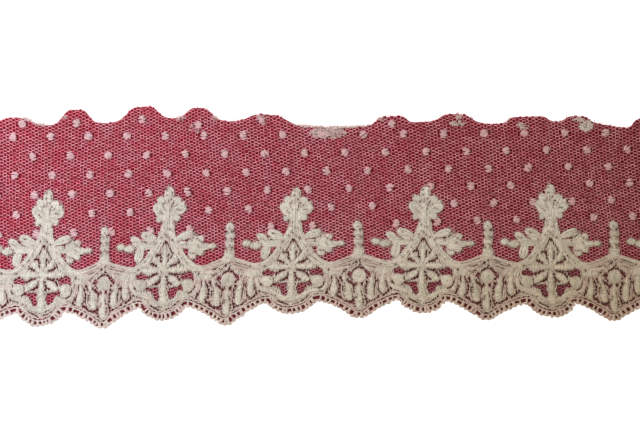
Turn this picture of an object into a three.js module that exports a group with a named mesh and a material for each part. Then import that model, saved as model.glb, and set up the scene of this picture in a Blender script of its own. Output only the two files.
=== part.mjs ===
// A cut length of cotton lace edging, lying flat and face up over a crimson backing cloth.
// The lace is one piece: a net ground with a ragged upper cut, a scalloped lower edge, small sewn dots, and a
// row of padded embroidery. X runs along the trim, Y across it towards the cut edge, Z up from the surface.
import * as THREE from "three";

// Driving dimensions, in millimetres.
const LENGTH = 210;
const REPEAT = 40;
const BACKING_THICKNESS = 1;
const LAYER_GAP = 0.3;
const GROUND_THICKNESS = 1;
const BACKING_INSET = 0.45;
const OUTLINE_STEP = 1.6;

// Raised work over the ground.
const PAD_TOP_WIDTH = 0.55;
const PAD_TOP_END = 0.5;
const DOT_RADIUS = 1.15;
const DOT_HEIGHT = 0.5;
const DOT_SIDES = 6;
const DOT_CLEARANCE = 0.2;
const LONG_PAD = 3;
const LONG_PAD_STATIONS = 3;
const SHORT_PAD_STATIONS = 2;

// The scalloped edge of one repeat, as drops below the row of wheels: a round scallop under each wheel, a
// valley, and a pointed scallop under each bead column.
const VALLEY_DROP = 10.7;
const ROUND_HALF_WIDTH = 7.8;
const ROUND_DEPTH = 3.7;
const POINT_DEPTH = 5.7;
const POINT_CURVE = 1.15;

// The cord worked just inside the scalloped edge.
const EDGE_CORD_INSET = 0.75;
const EDGE_CORD_HALF = 0.35;
const EDGE_CORD_RISE = 0.4;
const ROUND_CORD = { from: -7.1, to: 7.1, stations: 9 };
const POINT_CORD = { from: 8.7, to: 19.4, stations: 5 };

// How the trim lies, a row for each half repeat: a wheel, a bead column, a wheel and so on. x and y place the
// row of wheels, lean tips the cross direction along X, and stretch is how far the net is pulled there.
const LAY_ROWS_BEFORE_FIRST_WHEEL = 2;
const LAY = [
  { x: -125.6, y: -18.8, lean: 0.06, stretch: 1.07 },
  { x: -106.3, y: -18.4, lean: 0.05, stretch: 1.06 },
  { x: -86.9, y: -18.7, lean: 0.066, stretch: 1.09 },
  { x: -67.7, y: -17.8, lean: 0.03, stretch: 1.03 },
  { x: -48.8, y: -17.1, lean: 0.045, stretch: 1.05 },
  { x: -28.8, y: -16.5, lean: 0.05, stretch: 1.04 },
  { x: -8.8, y: -15.9, lean: 0.03, stretch: 1.02 },
  { x: 12.0, y: -15.3, lean: -0.02, stretch: 0.99 },
  { x: 32.0, y: -15.6, lean: 0.01, stretch: 1.0 },
  { x: 52.2, y: -15.6, lean: 0.02, stretch: 1.01 },
  { x: 72.2, y: -16.2, lean: -0.01, stretch: 1.01 },
  { x: 91.9, y: -15.6, lean: -0.01, stretch: 1.02 },
  { x: 112.2, y: -15.9, lean: 0.0, stretch: 1.02 },
  { x: 132.0, y: -15.9, lean: 0.0, stretch: 1.02 },
];

// The upper cut: a row for each low stretch of the edge, and a row for each tab that stands above it.
const CUT_LOWS = [
  { x: -115, y: 29.0 },
  { x: -86, y: 28.4 },
  { x: -67, y: 29.2 },
  { x: -47, y: 30.4 },
  { x: -29, y: 29.6 },
  { x: -3, y: 28.0 },
  { x: 9, y: 27.8 },
  { x: 32, y: 29.7 },
  { x: 52, y: 29.1 },
  { x: 73, y: 29.6 },
  { x: 88, y: 28.9 },
  { x: 96, y: 27.6 },
  { x: 115, y: 28.2 },
];
const CUT_TABS = [
  { centre: -95.3, half: 5.0, rise: 2.6, square: 4 },
  { centre: -76.6, half: 4.4, rise: 4.8, square: 5 },
  { centre: -55.6, half: 5.3, rise: 4.6, square: 5 },
  { centre: -37.8, half: 4.4, rise: 4.2, square: 4 },
  { centre: -16.6, half: 6.6, rise: 3.3, square: 4 },
  { centre: 22.2, half: 5.0, rise: 2.5, square: 8 },
  { centre: 42.5, half: 5.3, rise: 2.8, square: 5 },
  { centre: 65.3, half: 6.2, rise: 2.0, square: 10 },
  { centre: 80.6, half: 4.1, rise: 2.2, square: 5 },
  { centre: 101.2, half: 3.1, rise: 2.8, square: 6 },
];

// Chart of one repeat, measured from the wheel: along the trim, then up. A petal runs from its root to its
// tip, and half is its greatest half width. ease, for the root and then the tip, is 0.5 for a round end and
// nearer 1 for a pointed one. rise is its height over the ground.
const AXIS_PETALS = [
  { name: "palmette crown", root: [0, 20.4], tip: [0, 25.2], half: 1.5, ease: [0.5, 0.5], rise: 0.7 },
  { name: "palmette heart", root: [0, 15.7], tip: [0, 20.0], half: 0.95, ease: [0.5, 0.5], rise: 0.6 },
  { name: "neck", root: [0, 13.8], tip: [0, 15.3], half: 1.5, ease: [0.5, 0.5], rise: 0.6 },
  { name: "diamond bead", root: [0, 10.1], tip: [0, 13.4], half: 2.1, ease: [0.8, 0.8], rise: 0.7 },
  { name: "upper spoke", root: [0, 1.9], tip: [0, 7.4], half: 0.9, ease: [0.7, 0.7], rise: 0.6 },
  { name: "hub", root: [0, -1.1], tip: [0, 1.4], half: 1.1, ease: [0.5, 0.5], rise: 0.8 },
  { name: "lower spoke", root: [0, -1.6], tip: [0, -9.5], half: 1.5, ease: [1.0, 0.5], rise: 0.7 },
];
const PAIRED_PETALS = [
  { name: "upper lobe", root: [1.6, 19.7], tip: [4.0, 22.2], half: 1.1, ease: [0.6, 0.5], rise: 0.7 },
  { name: "side lobe", root: [1.5, 18.2], tip: [6.4, 19.5], half: 1.2, ease: [0.7, 0.6], rise: 0.7 },
  { name: "lower lobe", root: [1.4, 16.5], tip: [5.4, 17.0], half: 0.8, ease: [0.6, 0.5], rise: 0.6 },
  { name: "base bead", root: [2.0, 14.8], tip: [4.2, 15.2], half: 0.8, ease: [0.5, 0.5], rise: 0.6 },
  { name: "upper leaf", root: [4.2, 8.6], tip: [9.0, 11.4], half: 1.1, ease: [0.6, 0.9], rise: 0.6 },
  { name: "middle leaf", root: [6.9, 7.1], tip: [12.7, 8.9], half: 1.3, ease: [0.6, 0.5], rise: 0.7 },
  { name: "lower leaf", root: [7.5, 5.0], tip: [10.0, 4.3], half: 1.0, ease: [0.5, 0.5], rise: 0.6 },
  { name: "sprig bead", root: [13.8, 7.4], tip: [15.7, 7.6], half: 0.95, ease: [0.5, 0.5], rise: 0.6 },
  { name: "side spoke", root: [1.6, 0.2], tip: [4.6, 0.2], half: 0.8, ease: [0.6, 0.6], rise: 0.6 },
  { name: "small spoke", root: [1.1, 1.6], tip: [2.5, 3.0], half: 0.5, ease: [0.6, 0.6], rise: 0.5 },
  { name: "slant spoke", root: [1.2, -1.4], tip: [4.9, -4.6], half: 0.95, ease: [0.8, 0.5], rise: 0.6 },
  { name: "blob", root: [5.5, -4.4], tip: [9.5, -4.4], half: 2.0, ease: [0.5, 0.5], rise: 0.8 },
  { name: "outer drop", root: [11.6, -2.8], tip: [12.6, -10.0], half: 1.3, ease: [0.9, 0.5], rise: 0.7 },
  { name: "inner drop", root: [14.5, -2.9], tip: [17.1, -11.2], half: 1.4, ease: [0.9, 0.5], rise: 0.7 },
];
const COLUMN_PETALS = [
  { name: "bead 1", root: [20, 12.2], tip: [20, 14.6], half: 1.1, ease: [0.5, 0.5], rise: 0.6 },
  { name: "bead 2", root: [20, 9.7], tip: [20, 12.0], half: 1.15, ease: [0.5, 0.5], rise: 0.6 },
  { name: "bead 3", root: [20, 7.3], tip: [20, 9.5], half: 1.2, ease: [0.5, 0.5], rise: 0.6 },
  { name: "bead 4", root: [20, 5.1], tip: [20, 7.1], half: 1.3, ease: [0.5, 0.5], rise: 0.6 },
  { name: "bead 5", root: [20, 2.9], tip: [20, 4.9], half: 1.5, ease: [0.5, 0.5], rise: 0.6 },
  { name: "roundel", root: [20, -4.9], tip: [20, -0.7], half: 2.1, ease: [0.5, 0.5], rise: 0.8 },
  { name: "centre drop", root: [20, -5.3], tip: [20, -14.2], half: 1.4, ease: [0.8, 0.5], rise: 0.7 },
];

// Bands of corded work: their centre line and half width, from the same origin.
const GARLAND_RISE = 0.6;
const GARLAND = [
  { at: [1.3, 9.0], half: 0.7 },
  { at: [2.7, 6.9], half: 1.15 },
  { at: [4.3, 4.3], half: 1.3 },
  { at: [6.4, 2.0], half: 1.1 },
  { at: [9.3, 0.6], half: 0.9 },
  { at: [12.2, 0.0], half: 1.4 },
  { at: [14.8, 0.5], half: 1.7 },
  { at: [17.9, 2.4], half: 0.6 },
];
const TREFOIL_RISE = 0.6;
const TREFOIL_BAND = [
  { at: [-10.2, -7.9], half: 0.7 },
  { at: [-6.2, -8.2], half: 1.0 },
  { at: [-3.6, -10.4], half: 1.1 },
  { at: [0, -11.4], half: 1.1 },
  { at: [3.6, -10.4], half: 1.1 },
  { at: [6.2, -8.2], half: 1.0 },
  { at: [10.2, -7.9], half: 0.7 },
];

// The sewn dots stand in staggered rows on the net, on a lattice that opens out a little towards the right.
const DOT_ROWS = 6;
const DOTS_A_ROW = 18;
const DOTS_BEFORE_FIRST = 1;
const DOT_FIRST_X = -96;
const DOT_PITCH = 11.6;
const DOT_PITCH_GROWTH = 0.045;
const DOT_ROW_LEAN = 0.5;
const DOT_FIRST_Y = 25.9;
const DOT_FIRST_Y_SLOPE = 0.0101;
const DOT_ROW_PITCH = 5.78;
const DOT_ROW_PITCH_SLOPE = -0.0024;

// The value of one column of the lay at s along the trim, on a smooth curve through its rows.
function layColumn(s, column) {
  const place = s / (REPEAT / 2) + LAY_ROWS_BEFORE_FIRST_WHEEL;
  const row = THREE.MathUtils.clamp(Math.floor(place), 1, LAY.length - 3);
  const f = place - row;
  const a = LAY[row - 1][column];
  const b = LAY[row][column];
  const c = LAY[row + 1][column];
  const d = LAY[row + 2][column];
  return b + 0.5 * f * (c - a + f * (2 * a - 5 * b + 4 * c - d + f * (3 * (b - c) + d - a)));
}

// Where a point of the chart lies on the surface: s along the trim, t up from the row of wheels.
function lay(s, t) {
  const x = layColumn(s, "x") + layColumn(s, "lean") * t;
  const y = layColumn(s, "y") + layColumn(s, "stretch") * t;
  return new THREE.Vector2(x, y);
}

// The scalloped edge, as a height in the chart.
function scallop(s) {
  const aside = Math.abs(s - REPEAT * Math.round(s / REPEAT));
  if (aside < ROUND_HALF_WIDTH) {
    return -VALLEY_DROP - ROUND_DEPTH * Math.sqrt(1 - (aside / ROUND_HALF_WIDTH) ** 2);
  }
  const along = (aside - ROUND_HALF_WIDTH) / (REPEAT / 2 - ROUND_HALF_WIDTH);
  return -VALLEY_DROP - POINT_DEPTH * along ** POINT_CURVE;
}

// The height of the upper cut at x: the line through its lows, with the tabs standing on it.
function cutEdge(x) {
  const next = CUT_LOWS.findIndex((low) => low.x > x);
  const before = CUT_LOWS[next - 1];
  const after = CUT_LOWS[next];
  const base = THREE.MathUtils.mapLinear(x, before.x, after.x, before.y, after.y);
  return CUT_TABS.reduce(
    (y, tab) => y + tab.rise / (1 + Math.abs((x - tab.centre) / tab.half) ** tab.square),
    base,
  );
}

// The outline of the trim, anticlockwise from its lower left corner, drawn in from both long edges by inset.
function outline(inset) {
  const end = LENGTH / 2 - inset;
  const lower = [];
  const lastS = (LAY.length - LAY_ROWS_BEFORE_FIRST_WHEEL - 1) * (REPEAT / 2);
  const stepsPerRepeat = Math.round(REPEAT / OUTLINE_STEP);
  const firstStep = -stepsPerRepeat;
  const lastStep = Math.round((lastS / REPEAT) * stepsPerRepeat);
  for (let step = firstStep; step < lastStep; step++) {
    const s = (step * REPEAT) / stepsPerRepeat;
    const point = lay(s, scallop(s) + inset);
    if (Math.abs(point.x) < end - OUTLINE_STEP / 2) lower.push(point);
  }
  const corner = (x, beside) => new THREE.Vector2(x, beside.y);
  const upper = [];
  const steps = Math.round((2 * end) / OUTLINE_STEP);
  for (let step = 0; step <= steps; step++) {
    const x = end - (2 * end * step) / steps;
    upper.push(new THREE.Vector2(x, cutEdge(x) - inset));
  }
  return [corner(-end, lower[0]), ...lower, corner(end, lower.at(-1)), ...upper];
}

// A pad is a list of stations along its middle; each has its two side points at the foot and at the top.
// The width of a petal follows the product of two powers, so that each end is as round or pointed as stated.
function petalStations(petal) {
  const root = new THREE.Vector2(...petal.root);
  const tip = new THREE.Vector2(...petal.tip);
  const axis = tip.clone().sub(root);
  const side = new THREE.Vector2(-axis.y, axis.x).normalize();
  const count = axis.length() > LONG_PAD ? LONG_PAD_STATIONS : SHORT_PAD_STATIONS;
  const [rootEase, tipEase] = petal.ease;
  const widest = rootEase / (rootEase + tipEase);
  const shape = (f) => f ** rootEase * (1 - f) ** tipEase;
  const stations = [{ middle: root, side, half: 0 }];
  for (let i = 1; i <= count; i++) {
    const f = 0.5 - 0.5 * Math.cos((Math.PI * i) / (count + 1));
    const half = (petal.half * shape(f)) / shape(widest);
    stations.push({ middle: root.clone().addScaledVector(axis, f), side, half });
  }
  stations.push({ middle: tip, side, half: 0 });
  return stations;
}

function bandStations(band) {
  return band.map((row, i) => {
    const before = new THREE.Vector2(...band[Math.max(i - 1, 0)].at);
    const after = new THREE.Vector2(...band[Math.min(i + 1, band.length - 1)].at);
    const axis = after.sub(before);
    const side = new THREE.Vector2(-axis.y, axis.x).normalize();
    return { middle: new THREE.Vector2(...row.at), side, half: row.half };
  });
}

// A stretch of the edge cord: the scalloped edge, moved inwards.
function cordStations(stretch) {
  const rows = Array.from({ length: stretch.stations }, (_, i) => {
    const s = THREE.MathUtils.lerp(stretch.from, stretch.to, i / (stretch.stations - 1));
    return { at: [s, scallop(s)], half: EDGE_CORD_HALF };
  });
  return bandStations(rows).map((station) => ({
    ...station,
    middle: station.middle.addScaledVector(station.side, EDGE_CORD_INSET),
  }));
}

// The ring of a pad at the foot, or drawn in for its top: down one side, round the tip, and back.
function ringOf(stations, atTop) {
  const last = stations.length - 1;
  const right = [];
  const left = [];
  stations.forEach((station, i) => {
    const middle = station.middle.clone();
    if (atTop && i === 0) middle.lerp(stations[1].middle, PAD_TOP_END);
    if (atTop && i === last) middle.lerp(stations[last - 1].middle, PAD_TOP_END);
    const half = station.half * (atTop ? PAD_TOP_WIDTH : 1);
    right.push(middle.clone().addScaledVector(station.side, -half));
    if (half > 0) left.unshift(middle.clone().addScaledVector(station.side, half));
  });
  return [...right, ...left];
}

// Every pad of one repeat, as rings in the chart that run anticlockwise.
function chartPads() {
  const pads = [];
  const addPad = (stations, rise) => {
    const pad = { foot: ringOf(stations, false), top: ringOf(stations, true), rise };
    pads.push(pad);
    return pad;
  };
  const mirrored = (ring) => ring.map((p) => new THREE.Vector2(-p.x, p.y)).reverse();
  const addPair = (stations, rise) => {
    const pad = addPad(stations, rise);
    pads.push({ foot: mirrored(pad.foot), top: mirrored(pad.top), rise });
  };
  [...AXIS_PETALS, ...COLUMN_PETALS].forEach((petal) => addPad(petalStations(petal), petal.rise));
  PAIRED_PETALS.forEach((petal) => addPair(petalStations(petal), petal.rise));
  addPair(bandStations(GARLAND), GARLAND_RISE);
  addPad(bandStations(TREFOIL_BAND), TREFOIL_RISE);
  addPad(cordStations(ROUND_CORD), EDGE_CORD_RISE);
  addPair(cordStations(POINT_CORD), EDGE_CORD_RISE);
  return pads;
}

// The pads of all repeats as they lie, leaving out those that the cut ends would part.
function laidPads() {
  const pads = [];
  const end = LENGTH / 2 - DOT_CLEARANCE;
  const chart = chartPads();
  const repeats = Math.floor((LAY.length - 1) / 2);
  for (let repeat = -1; repeat < repeats; repeat++) {
    const place = (p) => lay(p.x + repeat * REPEAT, p.y);
    for (const pad of chart) {
      const foot = pad.foot.map(place);
      if (foot.every((p) => Math.abs(p.x) < end)) pads.push({ foot, top: pad.top.map(place), rise: pad.rise });
    }
  }
  return pads;
}

function insideRing(point, ring) {
  return ring.reduce((inside, a, i) => {
    const b = ring[(i + 1) % ring.length];
    const crosses = a.y > point.y !== b.y > point.y;
    return crosses && point.x < a.x + ((b.x - a.x) * (point.y - a.y)) / (b.y - a.y) ? !inside : inside;
  }, false);
}

// The dots that stand clear of the embroidery and of the cut ends.
function laidDots(pads) {
  const dots = [];
  const reach = DOT_RADIUS + DOT_CLEARANCE;
  for (let row = 0; row < DOT_ROWS; row++) {
    for (let i = 0; i < DOTS_A_ROW; i++) {
      const place = i + 0.5 * (row % 2) - DOTS_BEFORE_FIRST;
      const x = DOT_FIRST_X + DOT_PITCH * place + DOT_PITCH_GROWTH * place ** 2 + DOT_ROW_LEAN * row;
      const rowPitch = DOT_ROW_PITCH + DOT_ROW_PITCH_SLOPE * x;
      const dot = new THREE.Vector2(x, DOT_FIRST_Y + DOT_FIRST_Y_SLOPE * x - row * rowPitch);
      const ring = Array.from({ length: DOT_SIDES }, (_, k) => {
        const turn = (2 * Math.PI * (k + 0.5 * (row % 2))) / DOT_SIDES;
        return new THREE.Vector2(Math.cos(turn), Math.sin(turn)).multiplyScalar(DOT_RADIUS).add(dot);
      });
      const covered = pads.some(
        (pad) =>
          insideRing(dot, pad.foot) ||
          ring.some((p) => insideRing(p, pad.foot)) ||
          pad.foot.some((p) => p.distanceTo(dot) < reach),
      );
      if (!covered && Math.abs(x) < LENGTH / 2 - reach) dots.push({ ring, dot });
    }
  }
  return dots;
}

// One closed sheet between z = low and z = low + thickness, with its upper face raised into pads and dots.
// The upper face is cut into triangles around the foot of each raised form, so every edge is shared.
function sheetGeometry(edge, low, thickness, pads, dots) {
  const positions = [];
  const triangles = [];
  const high = low + thickness;
  const addRing = (ring, z) => {
    const first = positions.length / 3;
    ring.forEach((p) => positions.push(p.x, p.y, z));
    return ring.map((_, i) => first + i);
  };
  const wall = (lower, upper) => {
    lower.forEach((_, i) => {
      const j = (i + 1) % lower.length;
      triangles.push(lower[i], lower[j], upper[j], lower[i], upper[j], upper[i]);
    });
  };
  const fill = (contour, contourIndex, holes, holeIndex, flip) => {
    const index = [...contourIndex, ...holeIndex.flatMap((ring) => [...ring].reverse())];
    const faces = THREE.ShapeUtils.triangulateShape(
      contour,
      holes.map((ring) => [...ring].reverse()),
    );
    for (const [a, b, c] of faces) {
      triangles.push(index[a], index[flip ? c : b], index[flip ? b : c]);
    }
  };
  const under = addRing(edge, low);
  const over = addRing(edge, high);
  wall(under, over);
  fill(edge, under, [], [], true);

  const feet = [...pads.map((pad) => pad.foot), ...dots.map((dot) => dot.ring)];
  const feetIndex = feet.map((ring) => addRing(ring, high));
  fill(edge, over, feet, feetIndex, false);
  pads.forEach((pad, i) => {
    const top = addRing(pad.top, high + pad.rise);
    wall(feetIndex[i], top);
    fill(pad.top, top, [], [], false);
  });
  dots.forEach((dot, i) => {
    const ring = feetIndex[pads.length + i];
    const [crown] = addRing([dot.dot], high + DOT_HEIGHT);
    ring.forEach((point, k) => triangles.push(point, ring[(k + 1) % ring.length], crown));
  });
  const geometry = new THREE.BufferGeometry();
  geometry.setAttribute("position", new THREE.Float32BufferAttribute(positions, 3));
  geometry.setIndex(triangles);
  geometry.computeVertexNormals();
  return geometry;
}

const edge = outline(0);
const heights = edge.map((p) => p.y);
const middleY = (Math.min(...heights) + Math.max(...heights)) / 2;
const pads = laidPads();
const dots = laidDots(pads);
const laceLow = BACKING_THICKNESS + LAYER_GAP;

const cotton = new THREE.MeshStandardMaterial({ color: 0xd9d4c4, roughness: 0.9, metalness: 0 });
const crimson = new THREE.MeshStandardMaterial({ color: 0x96142f, roughness: 0.85, metalness: 0 });

const backing = new THREE.Mesh(sheetGeometry(outline(BACKING_INSET), 0, BACKING_THICKNESS, [], []), crimson);
backing.name = "backing";

const lace = new THREE.Mesh(sheetGeometry(edge, laceLow, GROUND_THICKNESS, pads, dots), cotton);
lace.name = "lace";

const trim = new THREE.Group();
trim.add(backing, lace);
trim.position.y = -middleY;

export default trim;
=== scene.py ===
"""A flat length of cotton lace edging over its crimson backing cloth, dressed thread by thread.

The chart of the lace is in millimetres, with X along the trim and Y across it towards the cut edge.
"""

import bpy
import numpy as np
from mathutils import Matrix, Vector


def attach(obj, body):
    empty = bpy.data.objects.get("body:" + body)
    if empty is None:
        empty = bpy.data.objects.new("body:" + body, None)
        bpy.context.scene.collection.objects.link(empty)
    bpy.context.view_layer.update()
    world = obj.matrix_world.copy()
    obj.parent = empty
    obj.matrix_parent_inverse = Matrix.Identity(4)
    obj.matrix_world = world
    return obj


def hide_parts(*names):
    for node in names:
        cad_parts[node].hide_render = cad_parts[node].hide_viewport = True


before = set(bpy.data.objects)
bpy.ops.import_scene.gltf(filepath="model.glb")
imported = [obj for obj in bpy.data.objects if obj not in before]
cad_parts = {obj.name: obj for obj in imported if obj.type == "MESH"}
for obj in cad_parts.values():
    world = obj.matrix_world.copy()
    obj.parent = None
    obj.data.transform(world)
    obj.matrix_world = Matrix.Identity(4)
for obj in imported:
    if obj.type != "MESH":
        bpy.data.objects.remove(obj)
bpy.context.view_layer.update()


# The backing cloth: plain-woven crimson cotton, cut with scissors along the outline of the lace.
# It lies flat under the lace, a little inside its edges, and shows through every hole of the net.
MM = 0.001
HALF_LENGTH = 105.0
REPEAT = 40.0
CHART_START = -45
CHART_END = 235
CHART_POINTS = 5600
CHART_SHIFT_Y = -0.1
BACKING_INSET = 0.6
BACKING_TOP = 1.0
BACKING_COLUMNS = 440
BACKING_ROWS = 90
BACKING_CLOSER = 1.5
EDGE_SAMPLES = 4001

CLOTH_ROUGHNESS = 0.9
CLOTH_SHEEN = 0.15
CLOTH_SPECULAR = 0.2
WEAVE_PITCH = 0.34
WEAVE_DEPTH = 0.0001
WEAVE_STRENGTH = 0.6
RIB_SHARE = 0.55
DYE_SCALE = 90.0
# The crimson is darker towards the right end: painted shade of the light falling off.
CRIMSON_LEFT = ((0.175, 0.006, 0.018, 1.0), (0.335, 0.013, 0.036, 1.0))
CRIMSON_RIGHT = ((0.075, 0.002, 0.004, 1.0), (0.16, 0.004, 0.008, 1.0))
# Painted shade of the crimson under close stitches, at the right end and the left.
CRIMSON_STITCH_SHADE = ((0.14, 0.042, 0.030, 1.0), (0.19, 0.036, 0.044, 1.0))

VALLEY_DROP = 10.7
ROUND_HALF_WIDTH = 7.3
ROUND_DEPTH = 3.85
ROUND_POWER = 0.7
POINT_DEPTH = 5.8
POINT_BLUNT = 0.88
POINT_CURVE = 1.4


def table(columns, *rows):
    """A table of numbers with named columns, from a tuple for each row."""
    return np.array(list(rows), dtype=[(name, float) for name in columns.split()])


# How the trim lies, a row for each half repeat: place of the wheel row, lean and stretch across it.
LAY_ROWS_BEFORE_FIRST_WHEEL = 2
LAY = table(
    "x y lean stretch",
    (-125.6, -18.8, 0.06, 1.07),
    (-106.3, -18.4, 0.05, 1.06),
    (-86.9, -18.7, 0.055, 1.075),
    (-67.7, -17.8, 0.03, 1.03),
    (-48.8, -17.1, 0.045, 1.05),
    (-28.8, -16.5, 0.05, 1.04),
    (-8.8, -15.9, 0.03, 0.995),
    (12.0, -15.3, -0.02, 0.99),
    (32.0, -15.6, 0.01, 1.0),
    (52.2, -15.6, 0.02, 1.01),
    (72.2, -16.2, -0.04, 1.05),
    (91.9, -15.6, -0.01, 1.02),
    (112.2, -15.9, 0.0, 1.02),
    (132.0, -15.9, 0.0, 1.02),
)
# The upper cut: the low stretches of its edge, and the tabs that stand above them.
CUT_LOWS = table(
    "x y",
    (-115, 29.7), (-86, 29.0), (-67, 29.9), (-47, 31.1), (-29, 30.2), (-3, 28.7), (9, 28.6), (32, 30.4),
    (52, 29.8), (73, 30.3), (88, 29.7), (96, 28.5), (115, 29.0),
)
CUT_TABS = table(
    "centre half rise square",
    (-95.3, 5.0, 2.6, 4),
    (-76.6, 4.4, 4.8, 5),
    (-55.6, 5.3, 4.6, 5),
    (-37.8, 4.4, 4.2, 4),
    (-16.6, 6.6, 3.3, 4),
    (22.2, 5.0, 2.5, 8),
    (42.5, 5.3, 2.8, 5),
    (65.3, 6.2, 2.0, 10),
    (80.6, 4.1, 2.2, 5),
    (101.2, 3.1, 2.8, 6),
)


def cubic(a, b, c, d, f):
    """The curve from b to c at share f of the way: a cubic whose slopes are half the step between the
    neighbours on both sides."""
    return b + 0.5 * f * (c - a + f * (2 * a - 5 * b + 4 * c - d + f * (3 * (b - c) + d - a)))


def lay_column(s, column):
    """One column of the lay at s along the trim: a smooth cubic through its four nearest rows."""
    rows = LAY[column]
    place = s / (REPEAT / 2) + LAY_ROWS_BEFORE_FIRST_WHEEL
    row = np.clip(np.floor(place).astype(int), 1, len(rows) - 3)
    return cubic(rows[row - 1], rows[row], rows[row + 1], rows[row + 2], place - row)


def lay(s, t):
    """Where chart point (s along, t up from the wheel row) lies: the row's place plus t along its cross
    line."""
    x = lay_column(s, "x") + lay_column(s, "lean") * t
    y = lay_column(s, "y") + lay_column(s, "stretch") * t + CHART_SHIFT_Y
    return x, y


def in_repeat(s):
    """Distance of s from its nearest wheel."""
    return s - REPEAT * np.round(s / REPEAT)


def scallop(s):
    """The scalloped edge in the chart: a round under each wheel, which is a power of a parabola's height,
    then a hollow curve down to a blunt point, which is a power of the way along."""
    aside = np.abs(in_repeat(s))
    dip = ROUND_DEPTH * np.clip(1 - (aside / ROUND_HALF_WIDTH) ** 2, 0, 1) ** ROUND_POWER
    along = np.clip((aside - ROUND_HALF_WIDTH) / (REPEAT / 2 - ROUND_HALF_WIDTH), 0, 1)
    return -VALLEY_DROP - dip - POINT_DEPTH * np.minimum(along / POINT_BLUNT, 1) ** POINT_CURVE


def lower_edge(x, inset):
    """Height of the scalloped edge at x, moved inwards: the laid edge, read between close points."""
    s = np.linspace(CHART_START, CHART_END, CHART_POINTS)
    edge_x, edge_y = lay(s, scallop(s) + inset)
    return np.interp(x, np.maximum.accumulate(edge_x), edge_y)


def upper_edge(x, inset):
    """Height of the cut edge at x: the line through its lows, plus a flat-topped bump for each tab."""
    y = np.interp(x, CUT_LOWS["x"], CUT_LOWS["y"]) + CHART_SHIFT_Y - inset
    reach = np.abs((np.asarray(x)[..., None] - CUT_TABS["centre"]) / CUT_TABS["half"])
    return y + (CUT_TABS["rise"] / (1 + reach ** CUT_TABS["square"])).sum(-1)


def quads(grid):
    """The four corners of each cell in grids of points, in order round it."""
    return np.stack([grid[:, :-1, :-1], grid[:, :-1, 1:], grid[:, 1:, 1:], grid[:, 1:, :-1]], 3)


def add_mesh(name, points, face_groups, material, face_uv=None, values=None):
    """Puts arrays into a mesh object: points in millimetres, groups of faces with the same corner count,
    and named values for each point."""
    corners = np.concatenate([group.ravel() for group in face_groups])
    totals = np.concatenate([np.full(len(group), group.shape[1]) for group in face_groups])
    mesh = bpy.data.meshes.new(name)
    mesh.vertices.add(len(points))
    mesh.vertices.foreach_set("co", (np.asarray(points) * MM).ravel())
    mesh.loops.add(len(corners))
    mesh.loops.foreach_set("vertex_index", corners.astype(np.int32))
    mesh.polygons.add(len(totals))
    mesh.polygons.foreach_set("loop_start", (np.cumsum(totals) - totals).astype(np.int32))
    mesh.polygons.foreach_set("use_smooth", np.ones(len(totals), dtype=bool))
    if face_uv is not None:
        mesh.uv_layers.new(name="thread").data.foreach_set("uv", face_uv.ravel())
    for key, value in (values or {}).items():
        mesh.attributes.new(key, "FLOAT", "POINT").data.foreach_set("value", value)
    mesh.update(calc_edges=True)
    mesh.validate()
    mesh.materials.append(material)
    piece = bpy.data.objects.new(name, mesh)
    bpy.context.collection.objects.link(piece)
    return piece


class Wire:
    """A socket in a material's nodes. Arithmetic on it adds Math nodes, and add makes any other."""

    def __init__(self, tree, socket=None):
        self.tree = tree
        self.socket = socket

    def add(self, kind, settings, inputs, output=0):
        """A node of that type: its settings are set first, then its sockets take values or links."""
        node = self.tree.nodes.new(kind)
        for key, value in settings.items():
            setattr(node, key, value)
        for key, value in inputs.items():
            if isinstance(value, Wire):
                self.tree.links.new(value.socket, node.inputs[key])
            else:
                node.inputs[key].default_value = value
        return Wire(self.tree, node.outputs[output])

    def into(self, shader, name):
        """Links this wire to a socket of the shader."""
        self.tree.links.new(self.socket, shader.inputs[name])

    def place(self):
        """The place on the object."""
        return self.add("ShaderNodeTexCoord", {}, {}, "Object")

    def point_value(self, name):
        """A value that the mesh has at each point."""
        return self.add("ShaderNodeAttribute", {"attribute_name": name}, {}, "Fac")

    def noise(self, place, scale, detail):
        """Even noise over the place."""
        inputs = {"Vector": place, "Scale": scale, "Detail": detail}
        return self.add("ShaderNodeTexNoise", {}, inputs)

    def bump(self, height, strength, distance):
        """A normal tilted by the slope of a height."""
        inputs = {"Strength": strength, "Distance": distance, "Height": height}
        return self.add("ShaderNodeBump", {}, inputs)

    def maths(self, operation, *values):
        """A Math node on the values."""
        return self.add("ShaderNodeMath", {"operation": operation}, dict(enumerate(values)))

    def blend(self, low, high):
        """A colour between low and high, with this wire as the share of high."""
        return self.add("ShaderNodeMix", {"data_type": "RGBA"}, {0: self, 6: low, 7: high}, 2)

    def tint(self, colour, by):
        """A colour multiplied by another, with this wire as the share of it."""
        settings = {"data_type": "RGBA", "blend_type": "MULTIPLY"}
        return self.add("ShaderNodeMix", settings, {0: self, 6: colour, 7: by}, 2)

    def ramp(self, value, low, high, at_low, at_high):
        """A value carried from low..high to at_low..at_high, and no further."""
        numbers = {1: low, 2: high, 3: at_low, 4: at_high}
        return self.add("ShaderNodeMapRange", {"clamp": True}, {0: value, **numbers})

    def parts(self, vector, *names):
        """Wires to the named parts of a vector."""
        split = self.add("ShaderNodeSeparateXYZ", {}, {0: vector}).socket.node
        return [Wire(self.tree, split.outputs[name]) for name in names]

    def sine(self):
        """The sine of this wire, in radians."""
        return self.maths("SINE", self)

    def above(self, level):
        """1 where this wire is above the level, and 0 elsewhere."""
        return self.maths("GREATER_THAN", self, level)

    def __abs__(self):
        return self.maths("ABSOLUTE", self)

    def __add__(self, other):
        return self.maths("ADD", self, other)

    def __sub__(self, other):
        return self.maths("SUBTRACT", self, other)

    def __rsub__(self, other):
        return self.maths("SUBTRACT", other, self)

    def __mul__(self, other):
        return self.maths("MULTIPLY", self, other)

    def __truediv__(self, other):
        return self.maths("DIVIDE", self, other)

    __radd__ = __add__
    __rmul__ = __mul__


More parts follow.
